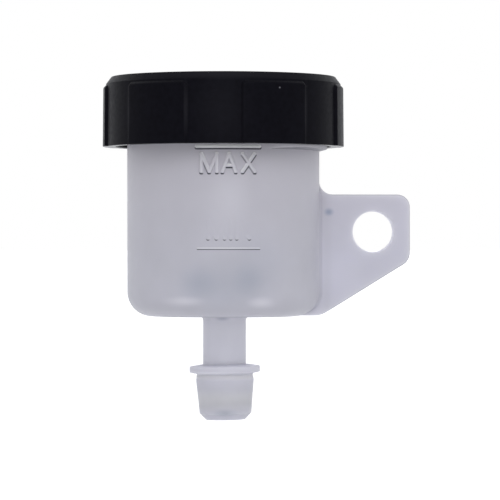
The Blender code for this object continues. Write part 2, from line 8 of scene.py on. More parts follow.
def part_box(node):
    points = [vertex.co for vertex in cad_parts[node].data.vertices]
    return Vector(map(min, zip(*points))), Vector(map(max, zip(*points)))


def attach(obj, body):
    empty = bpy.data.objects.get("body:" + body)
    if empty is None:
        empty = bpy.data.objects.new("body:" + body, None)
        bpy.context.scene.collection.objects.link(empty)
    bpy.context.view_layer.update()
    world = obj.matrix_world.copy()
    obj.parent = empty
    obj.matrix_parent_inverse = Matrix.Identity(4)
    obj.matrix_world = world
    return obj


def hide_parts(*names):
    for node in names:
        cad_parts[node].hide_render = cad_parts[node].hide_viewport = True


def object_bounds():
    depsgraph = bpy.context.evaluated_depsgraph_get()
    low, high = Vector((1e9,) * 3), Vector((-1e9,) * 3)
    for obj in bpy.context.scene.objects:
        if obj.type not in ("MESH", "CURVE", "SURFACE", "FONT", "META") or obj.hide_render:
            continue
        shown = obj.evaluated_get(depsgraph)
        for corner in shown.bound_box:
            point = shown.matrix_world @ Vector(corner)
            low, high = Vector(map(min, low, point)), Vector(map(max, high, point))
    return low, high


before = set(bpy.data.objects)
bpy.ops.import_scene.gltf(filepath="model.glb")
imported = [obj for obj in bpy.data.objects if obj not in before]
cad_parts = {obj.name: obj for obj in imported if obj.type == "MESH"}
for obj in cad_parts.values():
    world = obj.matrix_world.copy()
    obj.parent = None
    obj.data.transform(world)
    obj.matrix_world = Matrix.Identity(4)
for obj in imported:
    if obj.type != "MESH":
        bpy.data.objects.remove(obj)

CAD_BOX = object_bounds()

# Lengths are in metres and angles in degrees, unless math.radians has turned them.

# The camera, from the photograph's frame of 500 x 500 pixels
FRAME_PIXELS = 500
METRES_PER_PIXEL = 0.0002242
AXIS_PIXEL_X = 223.3
HORIZON_Z = -0.0041
CAMERA_TURN = math.radians(-3)
CAMERA_DISTANCE = 0.70
SENSOR = 36.0

# The studio
FLOOR_DROP = 0.10
FLOOR_SIZE = 2000.0
KEY_LIGHT = (3, 32, 36, 0.60)     # azimuth from the front, elevation and width in degrees, strength
FILL_LIGHT = (3, -28, 60, 0.15)
AMBIENT_COLOUR = (0.96, 0.97, 1.0, 1)
BRIGHT_SIDE = (0.0, 0.95, 0.3)
BRIGHT_RANGE = (0.35, 1.0)
DIM_STRENGTH = 0.66
BRIGHT_STRENGTH = 1.05

# Colours of the milky plastic: plain and warmer tones, painted light where light comes through or shade
# falls, painted highlights and painted shade on raised marks, flanks and edges, painted shade and painted
# reflections for what shows through the wall, and a smudge of dirt
MILKY_DARK = (0.575, 0.57, 0.63, 1)
MILKY_LIGHT = (0.605, 0.60, 0.665, 1)
MILKY_WARM = (0.60, 0.58, 0.63, 1)
MILKY_PAINTED_LIT_THROUGH = (0.765, 0.76, 0.86, 1)
MILKY_FLANK_SHADE = (0.05, 0.05, 0.065, 1)
MILKY_PAINTED_HIGHLIGHT = (0.97, 0.97, 1.0, 1)
MILKY_PAINTED_SHADE = (0.40, 0.43, 0.51, 1)
MILKY_SHINE = (0.74, 0.73, 0.80, 1)
MILKY_PAINTED_LIGHT = (0.87, 0.86, 0.96, 1)
MILKY_PAINTED_LIT_LILAC = (0.74, 0.735, 0.89, 1)
MILKY_EDGE_SHADE = (0.26, 0.26, 0.31, 1)
MILKY_SMUDGE = (0.34, 0.38, 0.50, 1)

# Colours of the other pieces and of the floor, with painted light and painted shade for the black cap
BLACK_DARK = (0.0030, 0.0027, 0.0046, 1)
BLACK_LIGHT = (0.0048, 0.0045, 0.0074, 1)
BLACK_PAINTED_LIGHT = (0.0160, 0.0155, 0.0195, 1)
BLACK_SHEEN = (0.86, 0.88, 1.0, 1)
BLACK_INSIDE_SHADE = (0.0003, 0.0003, 0.0004, 1)
SPECK_COLOUR = (0.22, 0.22, 0.24, 1)
RUBBER_DARK = (0.008, 0.008, 0.008, 1)
RUBBER_LIGHT = (0.013, 0.013, 0.012, 1)
PLATE_DARK = (0.58, 0.58, 0.55, 1)
PLATE_LIGHT = (0.63, 0.63, 0.60, 1)
FLOOR_DARK = (0.88, 0.88, 0.88, 1)
FLOOR_LIGHT = (0.90, 0.90, 0.90, 1)
FLOOR_GLOW = 0.5
WHITE = (1, 1, 1, 1)

# Ranges of roughness, sizes of the spots in tone, roughness and relief, and depths of the relief
MILKY_ROUGHNESS = (0.36, 0.48)
BLACK_ROUGHNESS = (0.34, 0.46)
RUBBER_ROUGHNESS = (0.60, 0.75)
PLATE_ROUGHNESS = (0.40, 0.55)
BLACK_INSIDE_ROUGHNESS = 0.95
BLACK_RIM_ROUGHNESS = 0.2
FLOOR_ROUGHNESS = 0.9
MILKY_TONE_SIZE = 0.009
BLACK_TONE_SIZE = 0.0012
RUBBER_TONE_SIZE = 0.002
PLATE_TONE_SIZE = 0.005
FLOOR_TONE_SIZE = 0.05
ROUGHNESS_SIZE = 0.0015
BLACK_ROUGHNESS_SIZE = 0.0008
MILKY_GRAIN_SIZE = 0.0004
BLACK_GRAIN_SIZE = 0.00035
PLAIN_GRAIN_SIZE = 0.0005
MILKY_GRAIN_DEPTH = 0.000012
PLAIN_GRAIN_DEPTH = 0.00001
PLAIN_DETAIL = 2.0
BLACK_DETAIL = 4.0
NOISE_LOW, NOISE_HIGH = 0.3, 0.7
BLACK_SPECULAR = 0.06
SCATTER_SHARE = 0.9
SCATTER_RADIUS = (1.0, 1.0, 1.0)
SCATTER_DEPTH = 0.0035

# Where the warmer tone, the painted light, painted shade and painted highlights change: heights and reaches
# in metres, parts of the surface's normal, and shares
TONE_FADE = 0.0005
WARM_RANGE = (-0.006, 0.016)
WARM_SHARE = 0.7
# Painted light on the spigot below the cup and on the ear, where light comes through them
LIT_THROUGH_RANGE = (-0.0195, -0.0182)
EAR_LIT_THROUGH_RANGE = (0.0005, 0.0030)
EAR_LIT_THROUGH_SHARE = 0.2
# Painted shade on the cup's underside and the ear's outer edges, and painted light in the bolt hole
UNDER_RANGE = (-1.0, -0.95)
UNDER_SHARE = 0.8
EDGE_FROM = (0.0020, 0.0030)
EDGE_FLAT_RANGE = (0.75, 0.95)
EDGE_SIDE_RANGE = (0.1, 0.4)
EDGE_SHARE = 0.8
HOLE_PAINTED_LIGHT_SHARE = 0.8
# Painted highlights on the raised marks and upper flanks, and painted shade on the lower flanks of marks
# and thread
RAISED_RANGE = (0.00012, 0.00040)
LETTER_SHARE = 0.12
BAR_FROM_Z = 0.0171
MARKS_FROM_Z = -0.0050
MARKS_TO_Z = 0.0191
MARKS_REACH = 0.0077
MARKS_SIDE_PULL = 35.0
THREAD_FROM_Z = 0.0172
THREAD_SHARE = 0.5
FALLING_RANGE = (-0.15, -0.55)
RISING_RANGE = (0.2, 0.6)
# Painted light on the dust cap below its flange, and on the screw cap's top
BELOW_FLANGE_RANGE = (-0.0318, -0.0310)
BELOW_FLANGE_SHARE = 0.55
CAP_TOP_PAINTED_LIGHT_SHARE = 0.5

# Soft spots of painted shade, painted highlights, painted reflections and painted light, and of real dirt
# and specks: place (aside and in front of the cup's axis, height), half sizes, share
EVERYWHERE = 1.0
# Painted shade standing in for dark things seen through the wall and at the spigot's root
PAINTED_SHADE_SPOTS = (
    ((-0.0063, 0.0206, -0.0115), (0.0056, 0.020, 0.0050), 0.42),
    ((0.0046, 0.0211, -0.0106), (0.0046, 0.020, 0.0048), 0.42),
    ((-0.0010, 0.0215, -0.0120), (0.0150, 0.020, 0.0080), 0.34),
    ((0.0072, 0.0203, -0.0070), (0.0085, 0.020, 0.0100), 0.18),
    ((-0.0004, 0.0055, -0.0192), (0.0020, 0.006, 0.0010), 0.9),
)
# Painted highlights: reflections of the inner floor's corner seen through the wall, and a pool of light on
# the front
SHINE_SPOTS = (
    ((-0.0095, 0.0194, -0.0153), (0.0058, 0.020, 0.0015), 0.80),
    ((0.0075, 0.0202, -0.0156), (0.0042, 0.020, 0.0017), 0.85),
    ((0.0004, 0.0215, 0.0070), (0.0066, 0.020, 0.0092), 0.42),
)
# Painted light against shade on the cup's right side, its corner before the ear, the spigot, the spigot's
# root and the ear's crease
PAINTED_LIGHT_SPOTS = (
    ((0.0219, 0.0, -0.0060), (0.0017, EVERYWHERE, 0.0190), 0.24),
    ((0.0202, 0.0032, -0.0172), (0.0034, 0.009, 0.0034), 0.15),
    ((0, 0, -0.0212), (EVERYWHERE, EVERYWHERE, 0.0046), 0.5),
    ((0, 0, -0.0286), (EVERYWHERE, EVERYWHERE, 0.0012), 0.15),
    ((-0.0027, 0.0045, -0.0195), (0.0012, 0.004, 0.0006), 0.6),
    ((0.0018, 0.0045, -0.0195), (0.0013, 0.004, 0.0007), 0.6),
    ((0.0255, 0.0016, -0.0090), (0.0080, 0.010, 0.0070), 0.16),
)
# Painted light on the dust cap against the shade on and below its flange, and painted shade near its end
DUST_CAP_PAINTED_LIGHT_SPOTS = (
    ((0, 0, -0.0304), (EVERYWHERE, EVERYWHERE, 0.0012), 0.14),
    ((0, 0, -0.0370), (EVERYWHERE, EVERYWHERE, 0.0020), 0.15),
    ((0, 0, -0.0322), (EVERYWHERE, EVERYWHERE, 0.0012), 1.0),
    ((0, 0, -0.0375), (EVERYWHERE, EVERYWHERE, 0.0026), 0.5),
)
DUST_CAP_PAINTED_SHADE_SPOTS = (((0.0002, 0.0052, -0.0404), (0.0038, 0.004, 0.0012), 0.7),)
SMUDGE_SPOTS = (((0.0236, 0.0016, 0.00442), (0.0015, 0.002, 0.0012), 0.9),)
# Painted light on the cap's chamfer and front, and painted highlights along the pads' edges
CAP_PAINTED_LIGHT_SPOTS = (
    ((-0.0010, 0.0260, 0.0340), (0.0230, 0.030, 0.0015), 0.8),
    ((-0.0020, 0.0265, 0.0265), (0.0085, 0.020, 0.0120), 0.3),
    ((-0.0092, 0.0250, 0.0265), (0.0007, 0.003, 0.0085), 1.0),
    ((-0.0215, 0.0156, 0.0265), (0.0006, 0.003, 0.0085), 0.8),
    ((0.0171, 0.0203, 0.0265), (0.0006, 0.003, 0.0085), 0.8),
)
CAP_SPECK_SPOTS = (((0.01116, 0.0242, 0.0311), (0.0003, 0.001, 0.0003), 1.0),)

# How finely round shapes are divided
COLUMNS = 144
HOLE_COLUMNS = 72
CORNER_STEPS = 8
WALL_STEP = 0.0010
SHARP_ANGLE = math.radians(40)

# Cup
CUP_RADIUS = 0.02155
CUP_DRAFT = 0.00006
CUP_WALL = 0.0019
CUP_FLOOR = 0.0020
CUP_CORNER = 0.0054
RIM_CHAMFER = 0.0004
UNDERSIDE_Z = -0.0189

# Mounting ear
HOLE_RADIUS = 0.00455
EAR_THICKNESS = 0.0032
EAR_ABOVE_HOLE = 0.00834
EAR_BELOW_HOLE = 0.00645
EAR_TOP_CORNER = 0.0028
EAR_LOW_CORNER = 0.0031
EAR_NOTCH_CORNER = 0.0030
EAR_NOTCH_DEPTH = 0.0001
EAR_FOOT_CORNER = 0.0050
EAR_FOOT_REACH = 0.0003
EAR_FOOT_RISE = 0.00012
EAR_EDGE = 0.0003
EAR_EDGE_STEPS = 3
EAR_BLEND = 0.0018
EAR_BLEND_DEPTH = 0.0003
BLEND_NOTCH_CLIMB = 0.7
BLEND_NOTCH_SHARE = 0.9
BLEND_FADE_START = 30.0
BLEND_FADE_END = 62.0
BLEND_LEAST_SHARE = 0.15

# Outlet spigot
SPIGOT_OFFSET = 0.00027
SPIGOT_RADIUS = 0.00482
SPIGOT_BORE = 0.0032
SPIGOT_ROOT_FILLET = 0.0010
SPIGOT_BEAD_HEIGHT = 0.0003
SPIGOT_BEAD_LENGTH = 0.0030
SPIGOT_TIP_CHAMFER = 0.0009
BORE_MOUTH_CHAMFER = 0.0010

# Threads of neck and cap
THREAD_PITCH = 0.0030
THREAD_DEPTH = 0.00175
THREAD_CREST = 0.0009
THREAD_ROOT = 0.0017
THREAD_SIDE_GAP = 0.0003
THREAD_RADIAL_GAP = 0.0005
THREAD_TOP_BELOW_RIM = 0.00215
NECK_THREAD_TURNS = 2.5
LEVEL_RUN_START = 25.6
LEVEL_RUN_ANGLE = 70.0
THREAD_TAPER_ANGLE = 15.0
THREAD_DIVE = 0.0001
CAP_THREAD_TURNS = 1.6
CAP_THREAD_LEAD = 0.05

# Level bars and words on the cup's front, measured sideways from its middle. A stroke is (start, end,
# half width, how far its foot stands out, share lost by its top) and a letter is (name, left, right).
MAX_BAR = ((-0.00664, 0.01833), (0.00694, 0.01833), 0.00056, 0.00042, 0)
MIN_BAR = ((-0.00648, -0.00385), (0.00698, -0.00385), 0.00022, 0.00012, 0)
MAX_LETTERS = (("M", -0.00567, -0.00232), ("A", -0.00115, 0.00175), ("X", 0.00324, 0.00589))
MIN_LETTERS = (("M", -0.00424, -0.00067), ("I", 0.00067, 0.00067), ("N", 0.00198, 0.00474))
MAX_LETTERS_LOW, MAX_LETTERS_HIGH = 0.01282, 0.01672
MIN_LETTERS_LOW, MIN_LETTERS_HIGH = -0.00160, 0.00240
STROKE_HALF = 0.00050
MAX_LETTERS_PROUD = 0.00036
MIN_LETTERS_PROUD = 0.00015
MIN_LETTERS_FADE = 0.8
FADE_HEIGHT = 0.0008
RELIEF_CUTS = 11
RELIEF_FLANK = 1.2
STROKES = {
    "M": ((0, 0, 0, 1), (0, 1, 0.5, 0), (0.5, 0, 1, 1), (1, 1, 1, 0)),
    "A": ((0, 0, 0.5, 1), (0.5, 1, 1, 0), (0.19, 0.35, 0.81, 0.35)),
    "X": ((0, 0, 1, 1), (0, 1, 1, 0)),
    "I": ((0, 0, 0, 1),),
    "N": ((0, 0, 0, 1), (0, 1, 1, 0), (1, 0, 1, 1)),
}

# Bellows diaphragm and slip plate
SEAT_GAP = 0.0003
FLANGE_THICKNESS = 0.0014
FLANGE_SIDE_GAP = 0.00035
BELLOWS_WALL = 0.0009
BELLOWS_SIDE_GAP = 0.0005
BELLOWS_DEPTH = 0.0092
BELLOWS_FOLD = 0.0013
BELLOWS_CREST_BELOW_RIM = 0.0016
BELLOWS_FLOOR_CORNER = 0.0015
BELLOWS_FLOOR_RISE = 0.0012
PLATE_THICKNESS = 0.0015
PLATE_SIDE_GAP = 0.0004
PLATE_DISH_RADIUS = 0.0150
PLATE_DISH_DEPTH = 0.0012
PLATE_DISH_SLOPE = 0.0014
PLATE_VENT_RADIUS = 0.0016
BEAD_OVERLAP = 0.00035
BEAD_HEIGHT = 0.0007

# Screw cap
CAP_WALL = 0.0026
CAP_TOP_WALL = 0.0023
CAP_DRAFT = 0.00012
CAP_CHAMFER_WIDTH = 0.0012
CAP_CHAMFER_HEIGHT = 0.0016
CAP_MOUTH_CHAMFER = 0.0004
CAP_EDGE = 0.00022
CAP_MOUTH_EDGE = 0.00015
CAP_INNER_EDGE = 0.00008
PAD_COUNT = 6
PAD_HALF_ANGLE = math.radians(17.1)
PAD_HEIGHT = 0.0006
PAD_CENTRE = 23.1
PAD_BELOW_CHAMFER = 0.0003
PAD_ROUND = 0.00055
PAD_TOP_ROUND = 0.0008
PAD_CORNER = 0.0011
PAD_STEP = 0.0001
SKIRT_STEP = 0.0012
CAP_THREAD_ABOVE_MOUTH = 0.0004

# Dust cap
DUST_CAP_LENGTH = 0.01236
DUST_CAP_ENGAGEMENT = 0.0085
DUST_CAP_SIDE_GAP = 0.0003
DUST_CAP_WALL_TOP = 0.00083
DUST_CAP_WALL_LOW = 0.00039
DUST_CAP_BORE_TAPER = 0.0005
DUST_CAP_BULGE = 0.00025
DUST_CAP_BULGE_BELOW_FLANGE = 0.0012
DUST_CAP_END_CHAMFER = 0.00150
DUST_CAP_END_INSET = 0.00141
DUST_CAP_FLOOR = 0.0016
DUST_FLANGE_REACH = 0.00165
DUST_FLANGE_ROOT = 0.0021
DUST_FLANGE_EDGE = 0.00135
DUST_CAP_TILT = 1.0
DUST_CAP_ASIDE = 0.00018
DUST_EDGE = 0.00025

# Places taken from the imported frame, and sizes that follow from the named ones
CUP_LOW, CUP_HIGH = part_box("reservoir_cup")
CAP_LOW, CAP_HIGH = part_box("screw_cap")
BELLOWS_LOW, BELLOWS_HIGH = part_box("bellows_diaphragm")
AXIS = Vector(((BELLOWS_LOW.x + BELLOWS_HIGH.x) / 2, (BELLOWS_LOW.y + BELLOWS_HIGH.y) / 2, 0))
RIM_Z = CUP_HIGH.z
SPIGOT_TIP_Z = CUP_LOW.z
EAR_END_X = CUP_HIGH.x
CAP_TOP_Z = CAP_HIGH.z
CAP_MOUTH_Z = CAP_LOW.z
FLOOR_TOP_Z = UNDERSIDE_Z + CUP_FLOOR
FLOOR_MIDDLE_Z = UNDERSIDE_Z + CUP_FLOOR / 2
EAR_ROOT_Z = EAR_ABOVE_HOLE + EAR_NOTCH_CORNER
CUP_BORE = CUP_RADIUS - CUP_WALL
THREAD_LOW_Z = RIM_Z - THREAD_TOP_BELOW_RIM - NECK_THREAD_TURNS * THREAD_PITCH
THREAD_NARROWING = (THREAD_ROOT - THREAD_CREST) / THREAD_DEPTH
CAP_BORE = CUP_RADIUS + THREAD_DEPTH + THREAD_RADIAL_GAP
CAP_BASE_RADIUS = CAP_BORE + CAP_WALL
CAP_RADIUS = CAP_BASE_RADIUS + PAD_HEIGHT
CAP_THREAD_ROOT = THREAD_PITCH - 2 * THREAD_SIDE_GAP - THREAD_CREST + THREAD_NARROWING * THREAD_RADIAL_GAP
BEAD_RADIUS = CAP_BORE - THREAD_DEPTH
FLANGE_RADIUS = BEAD_RADIUS - FLANGE_SIDE_GAP
FLANGE_LOW_Z = RIM_Z + SEAT_GAP
FLANGE_TOP_Z = FLANGE_LOW_Z + FLANGE_THICKNESS
PLATE_LOW_Z = FLANGE_TOP_Z + SEAT_GAP
PLATE_TOP_Z = PLATE_LOW_Z + PLATE_THICKNESS
PLATE_RADIUS = BEAD_RADIUS + BEAD_OVERLAP
DUST_CAP_BORE = SPIGOT_RADIUS + SPIGOT_BEAD_HEIGHT + DUST_CAP_SIDE_GAP


def polar(radius, angle, z):
    """Returns the point at a radius and an angle in radians from +X, round the cup's axis."""
    return AXIS + Vector((radius * math.cos(angle), radius * math.sin(angle), z))


def from_front(degrees):
    """Turns an angle from the front, positive towards +X, into radians from +X."""
    return math.radians(degrees - 90)


def arc(centre, radius, start, end, steps=CORNER_STEPS):
    """Returns points on an arc in a 2-D outline, from start to end in degrees."""
    points = []
    for i in range(steps + 1):
        a = math.radians(start + (end - start) * i / steps)
        points.append((centre[0] + radius * math.cos(a), centre[1] + radius * math.sin(a)))
    return points


def rounded(corners, steps=CORNER_STEPS):
    """Returns an outline with each corner (x, y, radius) replaced by an arc of its radius."""
    outline = []
    for i, (x, y, radius) in enumerate(corners):
        corner = Vector((x, y))
        if radius == 0:
            outline.append((x, y))
            continue
        before = (Vector(corners[i - 1][:2]) - corner).normalized()
        after = (Vector(corners[(i + 1) % len(corners)][:2]) - corner).normalized()
        half = before.angle(after) / 2
        centre = corner + (before + after).normalized() * (radius / math.sin(half))
        first = corner + before * (radius / math.tan(half)) - centre
        turn = -first.angle_signed(corner + after * (radius / math.tan(half)) - centre)
        outline += [tuple(centre + Matrix.Rotation(turn * k / steps, 2) @ first) for k in range(steps + 1)]
    return outline


def regular(columns, shift=0.0):
    """Returns evenly spaced angles round a full turn."""
    return [math.tau * (i + shift) / columns for i in range(columns)]


def add_object(name, verts, faces, look=None):
    """Makes an object from points and faces, with its faces turned outwards."""
    shape = bmesh.new()
    made = [shape.verts.new(v) for v in verts]
    for face in faces:
        shape.faces.new([made[i] for i in face])
    bmesh.ops.recalc_face_normals(shape, faces=shape.faces)
    mesh = bpy.data.meshes.new(name)
    shape.to_mesh(mesh)
    shape.free()
    if look:
        mesh.materials.append(look)
    thing = bpy.data.objects.new(name, mesh)
    bpy.context.scene.collection.objects.link(thing)
    return thing


def turned(name, outline, angles, look=None, radius_at=None, place=polar):
    """Revolves an (r, z) outline. Points on the axis become poles. radius_at may change a radius."""
    verts, rows = [], []
    for k, (r, z) in enumerate(outline):
        if r == 0:
            rows.append([len(verts)] * len(angles))
            verts.append(place(0, 0, z))
        else:
            rows.append(list(range(len(verts), len(verts) + len(angles))))
            verts += [place(radius_at(k, r, a, z) if radius_at else r, a, z) for a in angles]
    pairs = list(zip(rows, rows[1:]))
    if outline[0][0] > 0:
        pairs.append((rows[-1], rows[0]))
    faces = []
    for row, following in pairs:
        for i in range(len(angles)):
            k = (i + 1) % len(angles)
            faces.append(tuple(dict.fromkeys((row[i], row[k], following[k], following[i]))))
    return add_object(name, verts, faces, look)


def lofted(name, rings):
    """Joins rings of equally many points into a closed solid with a face at each end."""
    size = len(rings[0])
    verts = [point for ring in rings for point in ring]
    faces = []
    for row in range(len(rings) - 1):
        for i in range(size):
            k = (i + 1) % size
            faces.append((row * size + i, row * size + k, (row + 1) * size + k, (row + 1) * size + i))
    faces.append(tuple(range(size)))
    faces.append(tuple(range((len(rings) - 1) * size, len(rings) * size)))
    return add_object(name, verts, faces)


def combine(target, tool, operation):
    """Applies a Boolean of the tool to the target and removes the tool."""
    step = target.modifiers.new("step", "BOOLEAN")
    step.object = tool
    step.operation = operation
    step.solver = "EXACT"
    graph = bpy.context.evaluated_depsgraph_get()
    joined = bpy.data.meshes.new_from_object(target.evaluated_get(graph))
    target.modifiers.clear()
    target.data = joined
    bpy.data.objects.remove(tool, do_unlink=True)


def finish_piece(piece, body, node):
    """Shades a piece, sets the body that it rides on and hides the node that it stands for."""
    piece.data.shade_smooth()
    piece.data.set_sharp_from_angle(angle=SHARP_ANGLE)
    smooth = piece.modifiers.new("smooth", "WEIGHTED_NORMAL")
    smooth.keep_sharp = True
    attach(piece, body)
    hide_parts(node)


def thread_ridge(name, base_radius, outward, sink, root_width, stations):
    """Sweeps the thread's trapezoid. Each station is (angle, height, share of the full depth)."""
    side = 1 if outward else -1
    rings = []
    for angle, z, share in stations:
        height = share * THREAD_DEPTH - (1 - share) * THREAD_DIVE
        root_half = (root_width + THREAD_NARROWING * sink) / 2
        crest_half = (root_width - THREAD_NARROWING * height) / 2
        edge = min(CAP_MOUTH_EDGE, crest_half / 2)
        root = base_radius - side * sink
        crest = base_radius + side * height
        below_crest = crest - side * edge
        rings.append((
            polar(root, angle, z - root_half),
            polar(below_crest, angle, z - crest_half), polar(crest, angle, z - crest_half + edge),
            polar(crest, angle, z + crest_half - edge), polar(below_crest, angle, z + crest_half),
            polar(root, angle, z + root_half),
        ))
    return lofted(name, rings)


def thread_stations(first, level, turns, low_z):
    """Lists the stations of a thread that runs level for a while and then climbs for some turns."""
    step = math.tau / COLUMNS
    level_steps = round(level / step)
    last = level_steps + round(turns * COLUMNS)
    taper = math.radians(THREAD_TAPER_ANGLE)
    stations = []
    for i in range(last + 1):
        z = low_z + max(0, i - level_steps) / COLUMNS * THREAD_PITCH
        stations.append((first + i * step, z, min(1.0, min(i, last - i) * step / taper)))
    return stations


def make_shell(look):
    """Makes the turned cup with its rounded lower edge."""
    low_radius = CUP_RADIUS - CUP_DRAFT
    inner_corner = CUP_CORNER - CUP_WALL
    wall_high, wall_low = RIM_Z - RIM_CHAMFER, UNDERSIDE_Z + CUP_CORNER
    rows = round((wall_high - wall_low) / WALL_STEP)
    wall = [
        (CUP_RADIUS - CUP_DRAFT * k / rows, wall_high + (wall_low - wall_high) * k / rows, 0)
        for k in range(1, rows)
    ]
    outline = rounded([
        (0, FLOOR_TOP_Z, 0), (low_radius - CUP_WALL, FLOOR_TOP_Z, inner_corner),
        (CUP_BORE, RIM_Z, RIM_CHAMFER / 2), (CUP_RADIUS, RIM_Z, RIM_CHAMFER), *wall,
        (low_radius, UNDERSIDE_Z, CUP_CORNER), (0, UNDERSIDE_Z, 0),
    ])
    first = from_front(LEVEL_RUN_START) + math.pi / COLUMNS
    return turned("cup_moulding", outline, [first + a for a in regular(COLUMNS)], look)


def make_ear_plate():
    """Makes the flat ear with small rounded edges."""
    cup_side_x = AXIS.x + CUP_RADIUS
    wall_x = cup_side_x - EAR_BLEND_DEPTH
    notch_x = cup_side_x - EAR_NOTCH_DEPTH
    inside_x = cup_side_x - CUP_WALL / 2
    foot_x = cup_side_x - CUP_DRAFT - CUP_CORNER
    foot_z = UNDERSIDE_Z + EAR_FOOT_RISE
    outline = rounded([
        (inside_x, EAR_ROOT_Z, 0), (notch_x, EAR_ROOT_Z, 0), (notch_x, EAR_ABOVE_HOLE, EAR_NOTCH_CORNER),
        (EAR_END_X, EAR_ABOVE_HOLE, EAR_TOP_CORNER), (EAR_END_X, -EAR_BELOW_HOLE, EAR_LOW_CORNER),
        (cup_side_x + EAR_FOOT_REACH, foot_z, EAR_FOOT_CORNER),
        (foot_x, foot_z, 0), (foot_x, FLOOR_MIDDLE_Z, 0),
        (inside_x, FLOOR_MIDDLE_Z, CUP_CORNER - CUP_WALL / 2),
    ])
    size = len(outline)
    verts = [Vector((x, y, z)) for y in (-EAR_THICKNESS, 0) for x, z in outline]
    faces = [tuple(range(size)), tuple(range(size, 2 * size))]
    faces += [(i, (i + 1) % size, size + (i + 1) % size, size + i) for i in range(size)]
    plate = add_object("ear_plate", verts, faces)
    shape = bmesh.new()
    shape.from_mesh(plate.data)
    outer = [
        edge for edge in shape.edges
        if len({v.co.y for v in edge.verts}) == 1
        and min(v.co.x for v in edge.verts) > wall_x - EAR_EDGE / 2
        and min(v.co.z for v in edge.verts) < EAR_ROOT_Z - EAR_EDGE / 2
    ]
    bmesh.ops.bevel(
        shape, geom=outer, offset=EAR_EDGE, segments=EAR_EDGE_STEPS, profile=0.5, affect="EDGES"
    )
    shape.to_mesh(plate.data)
    shape.free()
    return plate


def make_ear_blend():
    """Makes the concave blend on both sides of the ear, down the cup's wall and round its corner."""
    corner_x = CUP_RADIUS - CUP_DRAFT - CUP_CORNER
    corner_z = UNDERSIDE_Z + CUP_CORNER
    stations = []
    for i in range(CORNER_STEPS + 1):
        climb = BLEND_NOTCH_CLIMB * (1 - i / CORNER_STEPS)
        notch_width = EAR_NOTCH_CORNER * (1 - math.sqrt(1 - (1 - climb) ** 2))
        share = min(1, BLEND_NOTCH_SHARE * notch_width / EAR_BLEND)
        stations.append((CUP_RADIUS, EAR_ABOVE_HOLE + EAR_NOTCH_CORNER * climb, 0, share))
    stations.append((CUP_RADIUS - CUP_DRAFT, corner_z, 0, 1))
    for i in range(1, CORNER_STEPS + 1):
        degrees = BLEND_FADE_END * i / CORNER_STEPS
        faded = max(0, degrees - BLEND_FADE_START) / (BLEND_FADE_END - BLEND_FADE_START)
        a = math.radians(degrees)
        stations.append((
            corner_x + CUP_CORNER * math.cos(a), corner_z - CUP_CORNER * math.sin(a), degrees,
            1 - (1 - BLEND_LEAST_SHARE) * faded,
        ))
    rings = []
    for radius, z, degrees, share in stations:
        size = EAR_BLEND * share
        half = EAR_THICKNESS / 2 - EAR_BLEND_DEPTH
        right = list(reversed(arc((size, half + size), size, 180, 270)))
        section = right + [(-CUP_WALL / 2, half + size), (-CUP_WALL / 2, -half - size)]
        section += [(reach, -side) for reach, side in reversed(right)]
        a = math.radians(degrees)
        wall_x = AXIS.x + radius - EAR_BLEND_DEPTH
        rings.append([
            Vector((wall_x + reach * math.cos(a), AXIS.y + side, z - reach * math.sin(a)))
            for reach, side in section
        ])
    return lofted("ear_blend", rings)


def make_bolt_hole():
    """Makes the cutter for the bolt hole, flared to round the hole's edges."""
    wide = HOLE_RADIUS + EAR_EDGE
    front, back = -EAR_THICKNESS, 0.0
    outline = [(0, front - EAR_THICKNESS), (wide, front - EAR_THICKNESS)]
    outline += arc((wide, front + EAR_EDGE), EAR_EDGE, 270, 180)
    outline += arc((wide, back - EAR_EDGE), EAR_EDGE, 180, 90)
    outline += [(wide, back + EAR_THICKNESS), (0, back + EAR_THICKNESS)]

    def place(radius, angle, along):
        """Returns a point round the bolt hole's axis."""
        return Vector((radius * math.cos(angle), along, radius * math.sin(angle)))

    return turned("bolt_hole", outline, regular(HOLE_COLUMNS), place=place)


def spigot_place(radius, angle, z):
    """Returns a point round the spigot's own axis, which lies a little beside the cup's."""
    return polar(radius, angle, z) + Vector((SPIGOT_OFFSET, 0, 0))


def make_spigot():
    """Makes the outlet spigot's outside, with its root flare, hose bead and rounded tip."""
    flare_radius = SPIGOT_RADIUS + SPIGOT_ROOT_FILLET
    bead_radius = SPIGOT_RADIUS + SPIGOT_BEAD_HEIGHT
    outline = rounded([
        (0, SPIGOT_TIP_Z, 0),
        (SPIGOT_RADIUS - SPIGOT_TIP_CHAMFER / 2, SPIGOT_TIP_Z, SPIGOT_TIP_CHAMFER / 4),
        (bead_radius, SPIGOT_TIP_Z + SPIGOT_TIP_CHAMFER, SPIGOT_TIP_CHAMFER / 4),
        (bead_radius, SPIGOT_TIP_Z + SPIGOT_BEAD_LENGTH / 2, SPIGOT_TIP_CHAMFER / 2),
        (SPIGOT_RADIUS, SPIGOT_TIP_Z + SPIGOT_BEAD_LENGTH, SPIGOT_TIP_CHAMFER / 2),
        (SPIGOT_RADIUS, UNDERSIDE_Z - SPIGOT_ROOT_FILLET, 0),
    ])
    outline += arc((flare_radius, UNDERSIDE_Z - SPIGOT_ROOT_FILLET), SPIGOT_ROOT_FILLET, 180, 90)[1:]
    outline += [(flare_radius, FLOOR_MIDDLE_Z), (0, FLOOR_MIDDLE_Z)]
    return turned("spigot", outline, regular(HOLE_COLUMNS), place=spigot_place)


